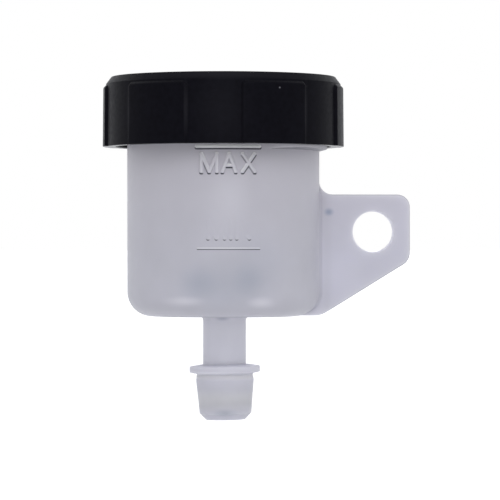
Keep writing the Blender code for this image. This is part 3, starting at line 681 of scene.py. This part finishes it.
def make_spigot_bore():
    """Makes the cutter for the spigot's bore, with its flared mouth in the cup's floor."""
    flare = SPIGOT_BORE + BORE_MOUTH_CHAMFER
    outline = [(0, SPIGOT_TIP_Z - SPIGOT_BORE), (SPIGOT_BORE, SPIGOT_TIP_Z - SPIGOT_BORE)]
    outline += arc((flare, FLOOR_TOP_Z - BORE_MOUTH_CHAMFER), BORE_MOUTH_CHAMFER, 180, 90)
    outline += [(flare, FLOOR_TOP_Z + SPIGOT_BORE), (0, FLOOR_TOP_Z + SPIGOT_BORE)]
    return turned("spigot_bore", outline, regular(HOLE_COLUMNS, 0.5), place=spigot_place)


def distance_to(start, end, x, z):
    """Returns how far a point is from a stroke's middle line."""
    start, along = Vector(start), Vector(end) - Vector(start)
    point = Vector((x, z))
    share = (point - start).dot(along) / along.length_squared
    return (point - start - along * min(1, max(0, share))).length


def word_strokes(letters, low, high, proud, fade):
    """Lists the strokes of a word's letters."""
    strokes = []
    for letter, left, right in letters:
        for x0, z0, x1, z1 in STROKES[letter]:
            start = (left + (right - left) * x0, low + (high - low) * z0)
            end = (left + (right - left) * x1, low + (high - low) * z1)
            strokes.append((start, end, STROKE_HALF, proud, fade))
    return strokes


def relief_height(strokes, x, z):
    """Returns how far the wall stands out at a point, from the strokes that reach it."""
    height = 0
    for start, end, half, proud, fade in strokes:
        nearness = RELIEF_FLANK * (1 - (distance_to(start, end, x, z) / half) ** 2)
        lost = fade * min(1, max(0, (z - MIN_LETTERS_LOW) / FADE_HEIGHT))
        height = max(height, min(1, nearness) * proud * (1 - lost))
    return height


def raise_strokes(cup, strokes):
    """Divides the cup's front wall finely round some strokes and moves it out along them."""
    ends = [(x, z, stroke[2]) for stroke in strokes for x, z in stroke[:2]]
    spread = max(abs(x) + half for x, z, half in ends)
    low = min(z - half for x, z, half in ends)
    high = max(z + half for x, z, half in ends)

    def lies_in(points):
        """Tells whether all points lie on the front wall and come near the strokes."""
        flat = [(point - AXIS) * Vector((1, 1, 0)) for point in points]
        return (
            all(abs(out.length - CUP_RADIUS) < 2 * CUP_DRAFT and out.y < 0 for out in flat)
            and min(abs(out.x) for out in flat) < spread
            and min(point.z for point in points) < high and max(point.z for point in points) > low
        )

    shape = bmesh.new()
    shape.from_mesh(cup.data)
    marked = [face for face in shape.faces if lies_in([v.co for v in face.verts])]
    edges = list(dict.fromkeys(edge for face in marked for edge in face.edges))
    bmesh.ops.subdivide_edges(shape, edges=edges, cuts=RELIEF_CUTS, use_grid_fill=True)
    for vertex in shape.verts:
        if lies_in([vertex.co]):
            out = (vertex.co - AXIS) * Vector((1, 1, 0))
            vertex.co += out.normalized() * relief_height(strokes, out.x, vertex.co.z)
    shape.to_mesh(cup.data)
    shape.free()


def make_neck_thread():
    """Makes the coarse thread on the cup's neck. Its lower end runs level before it climbs."""
    stations = thread_stations(
        from_front(LEVEL_RUN_START), math.radians(LEVEL_RUN_ANGLE), NECK_THREAD_TURNS, THREAD_LOW_Z
    )
    return thread_ridge("neck_thread", CUP_RADIUS, True, CUP_WALL / 2, THREAD_ROOT, stations)


def make_cup(look):
    """Makes the one-piece cup: shell, neck thread, ear, spigot, level bars and words."""
    cup = make_shell(look)
    ear = make_ear_plate()
    combine(ear, make_bolt_hole(), "DIFFERENCE")
    for extra in (make_neck_thread(), ear, make_ear_blend(), make_spigot()):
        combine(cup, extra, "UNION")
    combine(cup, make_spigot_bore(), "DIFFERENCE")
    upper = word_strokes(MAX_LETTERS, MAX_LETTERS_LOW, MAX_LETTERS_HIGH, MAX_LETTERS_PROUD, 0)
    raise_strokes(cup, upper + [MAX_BAR])
    lower = word_strokes(
        MIN_LETTERS, MIN_LETTERS_LOW, MIN_LETTERS_HIGH, MIN_LETTERS_PROUD, MIN_LETTERS_FADE
    )
    raise_strokes(cup, lower + [MIN_BAR])
    finish_piece(cup, "reservoir", "reservoir_cup")


def make_bellows(look):
    """Makes the rubber diaphragm: a flange on the cup's rim and folds that hang in the cup."""
    half = BELLOWS_WALL / 2
    outer_radius = CUP_BORE - BELLOWS_SIDE_GAP - half
    low_z = RIM_Z - BELLOWS_DEPTH + half
    crest_z = RIM_Z - BELLOWS_CREST_BELOW_RIM - half
    fold = BELLOWS_FOLD
    corner = BELLOWS_FLOOR_CORNER
    floor_z = low_z + BELLOWS_FLOOR_RISE
    inner_radius = outer_radius - 4 * fold

    def side(offset):
        """Returns the folds' middle line moved by offset, positive towards the air side."""
        points = [(outer_radius - offset, FLANGE_TOP_Z if offset > 0 else FLANGE_LOW_Z)]
        points += arc((outer_radius - fold, low_z + fold), fold - offset, 0, -180)
        points += arc((outer_radius - 3 * fold, crest_z - fold), fold + offset, 0, 180)
        points += arc((inner_radius - corner, floor_z + corner), corner - offset, 0, -90)
        return points + [(0, floor_z + offset)]

    outline = list(reversed(side(half)))
    outline += rounded([
        (outer_radius - half, FLANGE_TOP_Z, 0), (FLANGE_RADIUS, FLANGE_TOP_Z, CAP_EDGE),
        (FLANGE_RADIUS, FLANGE_LOW_Z, CAP_EDGE), (outer_radius + half, FLANGE_LOW_Z, 0),
    ])[1:-1]
    outline += side(-half)
    bellows = turned("diaphragm_moulding", outline, regular(COLUMNS), look)
    finish_piece(bellows, "reservoir", "bellows_diaphragm")


def make_slip_plate(look):
    """Makes the dished disc that presses on the diaphragm's flange, with a vent hole."""
    dish_low = PLATE_LOW_Z - PLATE_DISH_DEPTH
    dish_top = PLATE_TOP_Z - PLATE_DISH_DEPTH
    foot_radius = PLATE_DISH_RADIUS - PLATE_DISH_SLOPE
    bend = PLATE_THICKNESS / 2
    outline = rounded([
        (PLATE_VENT_RADIUS, dish_top, CAP_EDGE), (foot_radius, dish_top, bend),
        (PLATE_DISH_RADIUS, PLATE_TOP_Z, bend), (PLATE_RADIUS, PLATE_TOP_Z, CAP_EDGE),
        (PLATE_RADIUS, PLATE_LOW_Z, CAP_EDGE), (PLATE_DISH_RADIUS, PLATE_LOW_Z, bend),
        (foot_radius, dish_low, bend), (PLATE_VENT_RADIUS, dish_low, CAP_EDGE),
    ])
    plate = turned("slip_disc", outline, regular(COLUMNS), look)
    finish_piece(plate, "plate_carrier", "slip_plate")


def pad_centres():
    """Returns the angles of the grip pads' middles."""
    return [from_front(PAD_CENTRE + 360 / PAD_COUNT * i) for i in range(PAD_COUNT)]


def pad_height(angle, z):
    """Returns how far the nearest grip pad stands out, with rounded edges and upper corners."""
    half = PAD_HALF_ANGLE * CAP_RADIUS
    top = CAP_TOP_Z - CAP_CHAMFER_HEIGHT - PAD_BELOW_CHAMFER
    aside = min(abs(math.remainder(angle - centre, math.tau)) for centre in pad_centres()) * CAP_RADIUS
    out_x = aside - (half - PAD_CORNER)
    out_z = z - (top - PAD_CORNER)
    outside = math.hypot(max(out_x, 0), max(out_z, 0)) + min(max(out_x, out_z), 0)
    upward = max(out_z, 0) / max(outside, PAD_STEP / 2) if out_x < PAD_CORNER else 0
    soft = PAD_ROUND + (PAD_TOP_ROUND - PAD_ROUND) * min(1, upward)
    depth = min(1, max(0, PAD_CORNER - outside) / soft)
    return PAD_HEIGHT * math.sin(depth * math.pi / 2)


def cap_columns():
    """Returns the cap's column angles: evenly spaced, and close together along the pads' sides."""
    fine = PAD_STEP / CAP_RADIUS
    count = round((PAD_CORNER + PAD_STEP) / PAD_STEP)
    close = [
        centre + side * (PAD_HALF_ANGLE + fine / 2 - fine * k)
        for centre in pad_centres() for side in (-1, 1) for k in range(count + 1)
    ]
    plain = [
        angle for angle in regular(COLUMNS)
        if all(abs(math.remainder(angle - a, math.tau)) > 2 * fine for a in close)
    ]
    return sorted(a % math.tau for a in close + plain)


def make_cap_thread():
    """Makes the cap's thread, which begins past the level run of the neck's thread."""
    lowest = CAP_MOUTH_Z + CAP_THREAD_ABOVE_MOUTH + CAP_THREAD_ROOT / 2
    lead = max(CAP_THREAD_LEAD, (lowest - THREAD_LOW_Z) / THREAD_PITCH - 0.5)
    first = from_front(LEVEL_RUN_START + LEVEL_RUN_ANGLE) + lead * math.tau
    low_z = THREAD_LOW_Z + THREAD_PITCH * (lead + 0.5)
    stations = thread_stations(first, 0, CAP_THREAD_TURNS, low_z)
    return thread_ridge("cap_thread", CAP_BORE, False, CAP_WALL / 2, CAP_THREAD_ROOT, stations)


def make_cap(look):
    """Makes the screw cap: top, chamfer, skirt with grip pads, inner recess, bead and thread."""
    chamfer_z = CAP_TOP_Z - CAP_CHAMFER_HEIGHT
    bead_top = PLATE_LOW_Z - SEAT_GAP
    plate_bore = PLATE_RADIUS + PLATE_SIDE_GAP
    inner_top = PLATE_TOP_Z + SEAT_GAP
    top_radius = CAP_BASE_RADIUS - CAP_DRAFT
    upper = rounded([
        (0, CAP_TOP_Z, 0), (top_radius - CAP_CHAMFER_WIDTH, CAP_TOP_Z, CAP_EDGE),
        (top_radius, chamfer_z, CAP_EDGE), (CAP_BASE_RADIUS, CAP_MOUTH_Z, 0),
    ])[:-1]
    pad_top = chamfer_z - PAD_BELOW_CHAMFER
    fine_rows = round((PAD_CORNER + 2 * PAD_STEP) / PAD_STEP)
    rows = [pad_top + PAD_STEP / 2 - PAD_STEP * k for k in range(fine_rows + 1)]
    skirt_low = CAP_MOUTH_Z + CAP_MOUTH_EDGE
    coarse_rows = round((rows[-1] - skirt_low) / SKIRT_STEP)
    rows += [rows[-1] + (skirt_low - rows[-1]) * k / coarse_rows for k in range(1, coarse_rows)]
    drafted = [
        (CAP_BASE_RADIUS - CAP_DRAFT * (z - CAP_MOUTH_Z) / (chamfer_z - CAP_MOUTH_Z), z) for z in rows
    ]
    mouth = arc((CAP_BASE_RADIUS - CAP_MOUTH_EDGE, skirt_low), CAP_MOUTH_EDGE, 0, -90, CORNER_STEPS // 2)
    inner = rounded([
        (CAP_BORE + CAP_MOUTH_CHAMFER, CAP_MOUTH_Z, 0), (CAP_BORE, CAP_MOUTH_Z + CAP_MOUTH_CHAMFER, 0),
        (CAP_BORE, bead_top - BEAD_HEIGHT, CAP_INNER_EDGE),
        (BEAD_RADIUS, bead_top - BEAD_HEIGHT / 3, CAP_INNER_EDGE),
        (BEAD_RADIUS, bead_top, CAP_INNER_EDGE), (plate_bore, bead_top, CAP_INNER_EDGE),
        (plate_bore, inner_top, CAP_EDGE), (0, inner_top, 0),
    ], CORNER_STEPS // 2)
    padded = range(len(upper), len(upper) + len(drafted) + len(mouth))

    def radius_at(k, radius, angle, z):
        """Adds the grip pads to the radius of the skirt's rows."""
        return radius + pad_height(angle, z) if k in padded else radius

    cap = turned("cap_moulding", upper + drafted + mouth + inner, cap_columns(), look, radius_at)
    combine(cap, make_cap_thread(), "UNION")
    finish_piece(cap, "cap", "screw_cap")


def make_dust_cap(look):
    """Makes the push-on dust cap, leaning a little on the spigot's bead."""
    mouth_z = DUST_CAP_ENGAGEMENT
    end_z = mouth_z - DUST_CAP_LENGTH
    top_radius = DUST_CAP_BORE + DUST_CAP_WALL_TOP
    low_radius = DUST_CAP_BORE + DUST_CAP_WALL_LOW
    flange_radius = top_radius + DUST_FLANGE_REACH
    edge_drop = (DUST_FLANGE_ROOT - DUST_FLANGE_EDGE) / 2
    flange_low = mouth_z - DUST_FLANGE_ROOT
    outline = rounded([
        (0, end_z, 0), (low_radius - DUST_CAP_END_INSET, end_z, DUST_EDGE),
        (low_radius, end_z + DUST_CAP_END_CHAMFER, 2 * DUST_EDGE),
        (top_radius + DUST_CAP_BULGE, flange_low - DUST_CAP_BULGE_BELOW_FLANGE, 2 * DUST_EDGE),
        (top_radius, flange_low, DUST_EDGE),
        (flange_radius, mouth_z - edge_drop - DUST_FLANGE_EDGE, DUST_EDGE),
        (flange_radius, mouth_z - edge_drop, DUST_EDGE),
        (DUST_CAP_BORE, mouth_z, DUST_EDGE), (DUST_CAP_BORE, 0, 0),
        (DUST_CAP_BORE - DUST_CAP_BORE_TAPER, end_z + DUST_CAP_FLOOR, DUST_EDGE),
        (0, end_z + DUST_CAP_FLOOR, 0),
    ])
    pivot = spigot_place(0, 0, SPIGOT_TIP_Z) + Vector((DUST_CAP_ASIDE, 0, 0))
    lean = Matrix.Rotation(math.radians(-DUST_CAP_TILT), 3, "Y")

    def place(radius, angle, z):
        """Returns a point round the leaning cap's axis."""
        return pivot + lean @ Vector((radius * math.cos(angle), radius * math.sin(angle), z))

    cap = turned("dust_cap_moulding", outline, regular(HOLE_COLUMNS), look, place=place)
    finish_piece(cap, "dust_cap", "outlet_dust_cap")


def set_up(tree, node, inputs):
    """Sets or links a node's sockets. Each input is a socket with a value or with an output to link."""
    for socket, value in inputs:
        if isinstance(value, bpy.types.NodeSocket):
            tree.links.new(value, node.inputs[socket])
        else:
            node.inputs[socket].default_value = value


def add_node(tree, kind, inputs=(), **settings):
    """Adds a node with its settings, and with its inputs as set_up takes them."""
    made = tree.nodes.new(kind)
    for key, value in settings.items():
        setattr(made, key, value)
    set_up(tree, made, inputs)
    return made


def new_look(name):
    """Makes a material and returns it with its node tree and its shader."""
    made = bpy.data.materials.new(name)
    made.use_nodes = True
    return made, made.node_tree, made.node_tree.nodes["Principled BSDF"]


def place_of(tree):
    """Returns the coordinates on the piece, in metres."""
    return add_node(tree, "ShaderNodeTexCoord").outputs["Object"]


def noise(tree, size, detail=PLAIN_DETAIL):
    """Returns a noise with spots of about the given size in metres."""
    made = add_node(tree, "ShaderNodeTexNoise", [
        ("Vector", place_of(tree)), ("Scale", 1 / size), ("Detail", detail),
    ])
    return made.outputs["Fac"]


def ranged(tree, value, low, high, start=NOISE_LOW, end=NOISE_HIGH):
    """Maps a value from start..end to low..high."""
    made = add_node(tree, "ShaderNodeMapRange", [
        ("Value", value), ("From Min", start), ("From Max", end), ("To Min", low), ("To Max", high),
    ])
    return made.outputs["Result"]


def mixed(tree, factor, first, second, kind="FLOAT"):
    """Mixes two values, or two colours when the kind is RGBA."""
    inputs = [("Factor", factor), ("A", first), ("B", second)]
    return add_node(tree, "ShaderNodeMix", inputs, data_type=kind).outputs["Result"]


def blended(tree, factor, first, second):
    """Mixes two colours, each a colour or an output."""
    return mixed(tree, factor, first, second, "RGBA")


def split(tree, vector, axis):
    """Returns one component of a vector output."""
    return add_node(tree, "ShaderNodeSeparateXYZ", [("Vector", vector)]).outputs[axis]


def calculated(tree, operation, *values):
    """Returns the result of an operation on one or two values."""
    return add_node(tree, "ShaderNodeMath", enumerate(values), operation=operation).outputs[0]


def multiplied(tree, value, *factors):
    """Multiplies a value by some factors."""
    for factor in factors:
        value = calculated(tree, "MULTIPLY", value, factor)
    return value


def vector_made(tree, operation, *vectors):
    """Returns the vector that an operation makes from one or two vectors."""
    return add_node(tree, "ShaderNodeVectorMath", enumerate(vectors), operation=operation).outputs["Vector"]


def length_of(tree, vector):
    """Returns the length of a vector output."""
    return add_node(tree, "ShaderNodeVectorMath", [(0, vector)], operation="LENGTH").outputs["Value"]


def axis_distance(tree):
    """Returns the distance from the cup's axis."""
    away = vector_made(tree, "SUBTRACT", place_of(tree), AXIS)
    return length_of(tree, vector_made(tree, "MULTIPLY", away, (1, 1, 0)))


def hole_distance(tree):
    """Returns the distance from the bolt hole's axis."""
    return length_of(tree, vector_made(tree, "MULTIPLY", place_of(tree), (1, 0, 1)))


def soft_spot(tree, centre, half_sizes):
    """Returns a mask that is 1 at a place and falls smoothly to 0 at the half sizes from it."""
    away = vector_made(tree, "SUBTRACT", place_of(tree), centre)
    reach = length_of(tree, vector_made(tree, "DIVIDE", away, half_sizes))
    made = add_node(tree, "ShaderNodeMapRange", [
        ("Value", reach), ("To Min", 1.0), ("To Max", 0.0),
    ], interpolation_type="SMOOTHSTEP")
    return made.outputs["Result"]


def spotted(tree, colour, spots, tone):
    """Blends a colour towards a tone in soft spots."""
    for (aside, in_front, z), half_sizes, share in spots:
        mask = soft_spot(tree, AXIS + Vector((aside, -in_front, z)), half_sizes)
        colour = blended(tree, multiplied(tree, mask, share), colour, tone)
    return colour


def relief(tree, size, depth):
    """Returns the normal of a fine grain with the given size and depth in metres."""
    inputs = [("Height", noise(tree, size)), ("Distance", depth)]
    return add_node(tree, "ShaderNodeBump", inputs).outputs["Normal"]


def milky_tone(tree):
    """Returns the slightly uneven tone of natural translucent plastic."""
    return blended(tree, ranged(tree, noise(tree, MILKY_TONE_SIZE), 0, 1), MILKY_DARK, MILKY_LIGHT)


def set_up_milky(tree, shader, colour):
    """Sets the shader up as translucent plastic with a fine satin grain."""
    set_up(tree, shader, [
        ("Base Color", colour),
        ("Roughness", ranged(tree, noise(tree, ROUGHNESS_SIZE), *MILKY_ROUGHNESS)),
        ("Subsurface Weight", SCATTER_SHARE), ("Subsurface Radius", SCATTER_RADIUS),
        ("Subsurface Scale", SCATTER_DEPTH),
        ("Normal", relief(tree, MILKY_GRAIN_SIZE, MILKY_GRAIN_DEPTH)),
    ])


def edge_tones(tree, colour, normal):
    """Paints shade on the ear's outer edges and the cup's underside, and paints light on the bolt hole's
    inner face.
    """
    rounding_start = CUP_RADIUS - CUP_CORNER
    under = multiplied(
        tree, ranged(tree, split(tree, normal, "Z"), UNDER_SHARE, 0, *UNDER_RANGE),
        ranged(tree, axis_distance(tree), 0, 1, rounding_start - TONE_FADE, rounding_start),
    )
    on_ear = (AXIS.x + CUP_RADIUS + reach for reach in EDGE_FROM)
    turned_aside = calculated(tree, "ABSOLUTE", split(tree, normal, "Y"))
    from_hole = hole_distance(tree)
    edge = multiplied(
        tree, ranged(tree, split(tree, place_of(tree), "X"), 0, EDGE_SHARE, *on_ear),
        ranged(tree, turned_aside, 1, 0, *EDGE_FLAT_RANGE),
        ranged(tree, turned_aside, 0, 1, *EDGE_SIDE_RANGE),
        ranged(tree, from_hole, 0, 1, HOLE_RADIUS + EAR_EDGE, HOLE_RADIUS + 2 * EAR_EDGE),
    )
    colour = blended(tree, calculated(tree, "MAXIMUM", under, edge), colour, MILKY_EDGE_SHADE)
    in_hole = ranged(tree, from_hole, HOLE_PAINTED_LIGHT_SHARE, 0, HOLE_RADIUS, HOLE_RADIUS + EAR_EDGE)
    return blended(tree, in_hole, colour, MILKY_PAINTED_LIGHT)


def mark_tones(tree, colour, normal, height):
    """Paints highlights on the raised marks and the upper flanks of marks and thread, and paints shade on
    the lower ones.
    """
    aside = calculated(tree, "SUBTRACT", split(tree, place_of(tree), "X"), AXIS.x)
    reach = calculated(tree, "ABSOLUTE", aside)
    near = multiplied(
        tree, ranged(tree, reach, 1, 0, MARKS_REACH, MARKS_REACH + TONE_FADE),
        ranged(tree, height, 1, 0, MARKS_TO_Z, MARKS_TO_Z + TONE_FADE),
    )
    outward = multiplied(tree, aside, split(tree, normal, "X"), multiplied(tree, near, MARKS_SIDE_PULL))
    tilt = calculated(tree, "SUBTRACT", split(tree, normal, "Z"), outward)
    lettered = multiplied(tree, near, ranged(tree, height, 0, 1, MARKS_FROM_Z - TONE_FADE, MARKS_FROM_Z))
    threaded = ranged(tree, height, 0, THREAD_SHARE, THREAD_FROM_Z - TONE_FADE, THREAD_FROM_Z)
    marked = calculated(tree, "MAXIMUM", lettered, threaded)
    raised = multiplied(
        tree, lettered,
        ranged(tree, axis_distance(tree), 0, 1, *(CUP_RADIUS + rise for rise in RAISED_RANGE)),
        ranged(tree, height, LETTER_SHARE, 1, BAR_FROM_Z, BAR_FROM_Z + TONE_FADE),
    )
    colour = blended(tree, raised, colour, MILKY_PAINTED_HIGHLIGHT)
    falling = multiplied(tree, marked, ranged(tree, tilt, 0, 1, *FALLING_RANGE))
    colour = blended(tree, falling, colour, MILKY_FLANK_SHADE)
    rising = multiplied(tree, marked, ranged(tree, tilt, 0, 1, *RISING_RANGE))
    return blended(tree, rising, colour, MILKY_PAINTED_HIGHLIGHT)


def cup_look():
    """The cup's plastic, with painted light where its thin places let light through, painted highlights and
    shade on its marks and edges, painted shade and reflections for its hollow inside, and a smudge of dirt.
    """
    made, tree, shader = new_look("milky_plastic_look")
    height = split(tree, place_of(tree), "Z")
    warm = ranged(tree, height, 0, WARM_SHARE, *WARM_RANGE)
    colour = blended(tree, warm, milky_tone(tree), MILKY_WARM)
    # Painted light on the spigot and the ear, standing in for light that comes through them and against the
    # cup's shadow
    beyond_cup = (AXIS.x + CUP_RADIUS + reach for reach in EAR_LIT_THROUGH_RANGE)
    painted_lit_through = calculated(
        tree, "MAXIMUM", ranged(tree, height, 1, 0, *LIT_THROUGH_RANGE),
        ranged(tree, split(tree, place_of(tree), "X"), 0, EAR_LIT_THROUGH_SHARE, *beyond_cup),
    )
    colour = blended(tree, painted_lit_through, colour, MILKY_PAINTED_LIT_THROUGH)
    # Painted shade, painted highlights and painted light in soft spots, then a smudge of dirt
    colour = spotted(tree, colour, PAINTED_SHADE_SPOTS, MILKY_PAINTED_SHADE)
    colour = spotted(tree, colour, SHINE_SPOTS, MILKY_SHINE)
    colour = spotted(tree, colour, PAINTED_LIGHT_SPOTS, MILKY_PAINTED_LIGHT)
    colour = spotted(tree, colour, SMUDGE_SPOTS, MILKY_SMUDGE)
    normal = add_node(tree, "ShaderNodeNewGeometry").outputs["Normal"]
    colour = edge_tones(tree, colour, normal)
    set_up_milky(tree, shader, mark_tones(tree, colour, normal, height))
    return made


def dust_cap_look():
    """The dust cap's plastic, with painted light below its flange where the light comes through and against
    shade, and painted shade near its end.
    """
    made, tree, shader = new_look("dust_cap_look")
    height = split(tree, place_of(tree), "Z")
    below_flange = ranged(tree, height, BELOW_FLANGE_SHARE, 0, *BELOW_FLANGE_RANGE)
    colour = blended(tree, below_flange, milky_tone(tree), MILKY_PAINTED_LIT_LILAC)
    colour = spotted(tree, colour, DUST_CAP_PAINTED_LIGHT_SPOTS, MILKY_PAINTED_LIGHT)
    colour = spotted(tree, colour, DUST_CAP_PAINTED_SHADE_SPOTS, MILKY_PAINTED_SHADE)
    set_up_milky(tree, shader, colour)
    return made


def black_look():
    """Satin black moulded plastic with a fine grain, with painted light on its top, chamfer and pad edges,
    painted shade inside where it is also dull, and smoother on its lower rim.
    """
    made, tree, shader = new_look("black_plastic_look")
    height = split(tree, place_of(tree), "Z")
    tone = ranged(tree, noise(tree, BLACK_TONE_SIZE, BLACK_DETAIL), 0, 1)
    # Painted light on the cap's top face and in soft spots, then a real speck
    top = ranged(tree, height, 0, CAP_TOP_PAINTED_LIGHT_SHARE, CAP_TOP_Z - CAP_EDGE / 2, CAP_TOP_Z)
    colour = blended(tree, top, blended(tree, tone, BLACK_DARK, BLACK_LIGHT), BLACK_PAINTED_LIGHT)
    colour = spotted(tree, colour, CAP_PAINTED_LIGHT_SPOTS, BLACK_PAINTED_LIGHT)
    colour = spotted(tree, colour, CAP_SPECK_SPOTS, SPECK_COLOUR)
    # Painted shade inside the cap, which is also made dull there
    inside = multiplied(
        tree, ranged(tree, axis_distance(tree), 1, 0, CAP_BORE, CAP_BORE + CAP_MOUTH_EDGE),
        ranged(tree, height, 1, 0, CAP_TOP_Z - CAP_TOP_WALL, CAP_TOP_Z - CAP_TOP_WALL / 2),
    )
    rough = ranged(tree, noise(tree, BLACK_ROUGHNESS_SIZE, BLACK_DETAIL), *BLACK_ROUGHNESS)
    rough = mixed(tree, inside, rough, BLACK_INSIDE_ROUGHNESS)
    lowest = ranged(tree, height, 1, 0, CAP_MOUTH_Z, CAP_MOUTH_Z + CAP_MOUTH_EDGE / 3)
    set_up(tree, shader, [
        ("Base Color", blended(tree, inside, colour, BLACK_INSIDE_SHADE)),
        ("Roughness", mixed(tree, lowest, rough, BLACK_RIM_ROUGHNESS)),
        ("Specular IOR Level", BLACK_SPECULAR), ("Specular Tint", BLACK_SHEEN),
        ("Normal", relief(tree, BLACK_GRAIN_SIZE, PLAIN_GRAIN_DEPTH)),
    ])
    return made


def plain_look(name, dark, light, tone_size, roughness):
    """Plain moulded material between two tones, with a fine grain."""
    made, tree, shader = new_look(name)
    set_up(tree, shader, [
        ("Base Color", blended(tree, ranged(tree, noise(tree, tone_size), 0, 1), dark, light)),
        ("Roughness", ranged(tree, noise(tree, ROUGHNESS_SIZE), *roughness)),
        ("Normal", relief(tree, PLAIN_GRAIN_SIZE, PLAIN_GRAIN_DEPTH)),
    ])
    return made


def add_camera():
    """Adds a level camera at the photograph's angle."""
    right = Vector((math.cos(CAMERA_TURN), math.sin(CAMERA_TURN), 0))
    back = Vector((math.sin(CAMERA_TURN), -math.cos(CAMERA_TURN), 0))
    aside = (FRAME_PIXELS / 2 - AXIS_PIXEL_X) * METRES_PER_PIXEL
    data = bpy.data.cameras.new("camera")
    data.sensor_width = SENSOR
    data.lens = SENSOR * CAMERA_DISTANCE / (FRAME_PIXELS * METRES_PER_PIXEL)
    camera = bpy.data.objects.new("camera", data)
    camera.location = AXIS + right * aside + Vector((0, 0, HORIZON_Z)) + back * CAMERA_DISTANCE
    camera.rotation_euler = (math.pi / 2, 0, CAMERA_TURN)
    bpy.context.scene.collection.objects.link(camera)
    bpy.context.scene.camera = camera


def add_soft_sun(name, azimuth, elevation, softness, strength):
    """Adds a wide soft light that comes from an azimuth, from the front towards +X, and an elevation."""
    data = bpy.data.lights.new(name, "SUN")
    data.energy = strength
    data.angle = math.radians(softness)
    light = bpy.data.objects.new(name, data)
    a, e = math.radians(azimuth), math.radians(elevation)
    towards = Vector((math.sin(a) * math.cos(e), -math.cos(a) * math.cos(e), math.sin(e)))
    light.rotation_euler = towards.to_track_quat("Z", "Y").to_euler()
    bpy.context.scene.collection.objects.link(light)


def add_world():
    """Adds the white backdrop that the camera sees, and even light that is brightest from behind."""
    world = bpy.data.worlds.new("studio")
    bpy.context.scene.world = world
    world.use_nodes = True
    tree = world.node_tree
    tree.nodes.clear()
    seen = add_node(tree, "ShaderNodeBackground", [("Color", WHITE), ("Strength", 1.0)])
    direction = add_node(tree, "ShaderNodeTexCoord").outputs["Generated"]
    inputs = [(0, direction), (1, BRIGHT_SIDE)]
    facing = add_node(tree, "ShaderNodeVectorMath", inputs, operation="DOT_PRODUCT")
    share = ranged(tree, facing.outputs["Value"], 0, 1, *BRIGHT_RANGE)
    strength = ranged(tree, share, DIM_STRENGTH, BRIGHT_STRENGTH, 0, 1)
    lit = add_node(tree, "ShaderNodeBackground", [("Color", AMBIENT_COLOUR), ("Strength", strength)])
    path = add_node(tree, "ShaderNodeLightPath")
    mix = add_node(tree, "ShaderNodeMixShader", [
        (0, path.outputs["Is Camera Ray"]), (1, lit.outputs[0]), (2, seen.outputs[0]),
    ])
    add_node(tree, "ShaderNodeOutputWorld", [("Surface", mix.outputs[0])])


def add_floor():
    """Adds the plain pale floor, far enough below the part for its shadow to stay faint."""
    half = FLOOR_SIZE / 2
    z = CAD_BOX[0].z - FLOOR_DROP
    made, tree, shader = new_look("floor_paper")
    set_up(tree, shader, [
        ("Base Color", blended(tree, noise(tree, FLOOR_TONE_SIZE), FLOOR_DARK, FLOOR_LIGHT)),
        ("Roughness", FLOOR_ROUGHNESS),
        ("Emission Color", WHITE), ("Emission Strength", FLOOR_GLOW),
    ])
    corners = [(-half, -half, z), (half, -half, z), (half, half, z), (-half, half, z)]
    floor = add_object("floor", corners, [(0, 1, 2, 3)], made)
    floor.visible_diffuse = False
    floor.visible_glossy = False
    floor.visible_transmission = False
    floor.visible_shadow = False


add_camera()
add_world()
add_floor()
add_soft_sun("key", *KEY_LIGHT)
add_soft_sun("fill", *FILL_LIGHT)
bpy.context.scene.view_settings.view_transform = "Standard"

make_cup(cup_look())
rubber = plain_look("black_rubber_look", RUBBER_DARK, RUBBER_LIGHT, RUBBER_TONE_SIZE, RUBBER_ROUGHNESS)
plate_plastic = plain_look("plate_plastic_look", PLATE_DARK, PLATE_LIGHT, PLATE_TONE_SIZE, PLATE_ROUGHNESS)
make_bellows(rubber)
make_slip_plate(plate_plastic)
make_cap(black_look())
make_dust_cap(dust_cap_look())
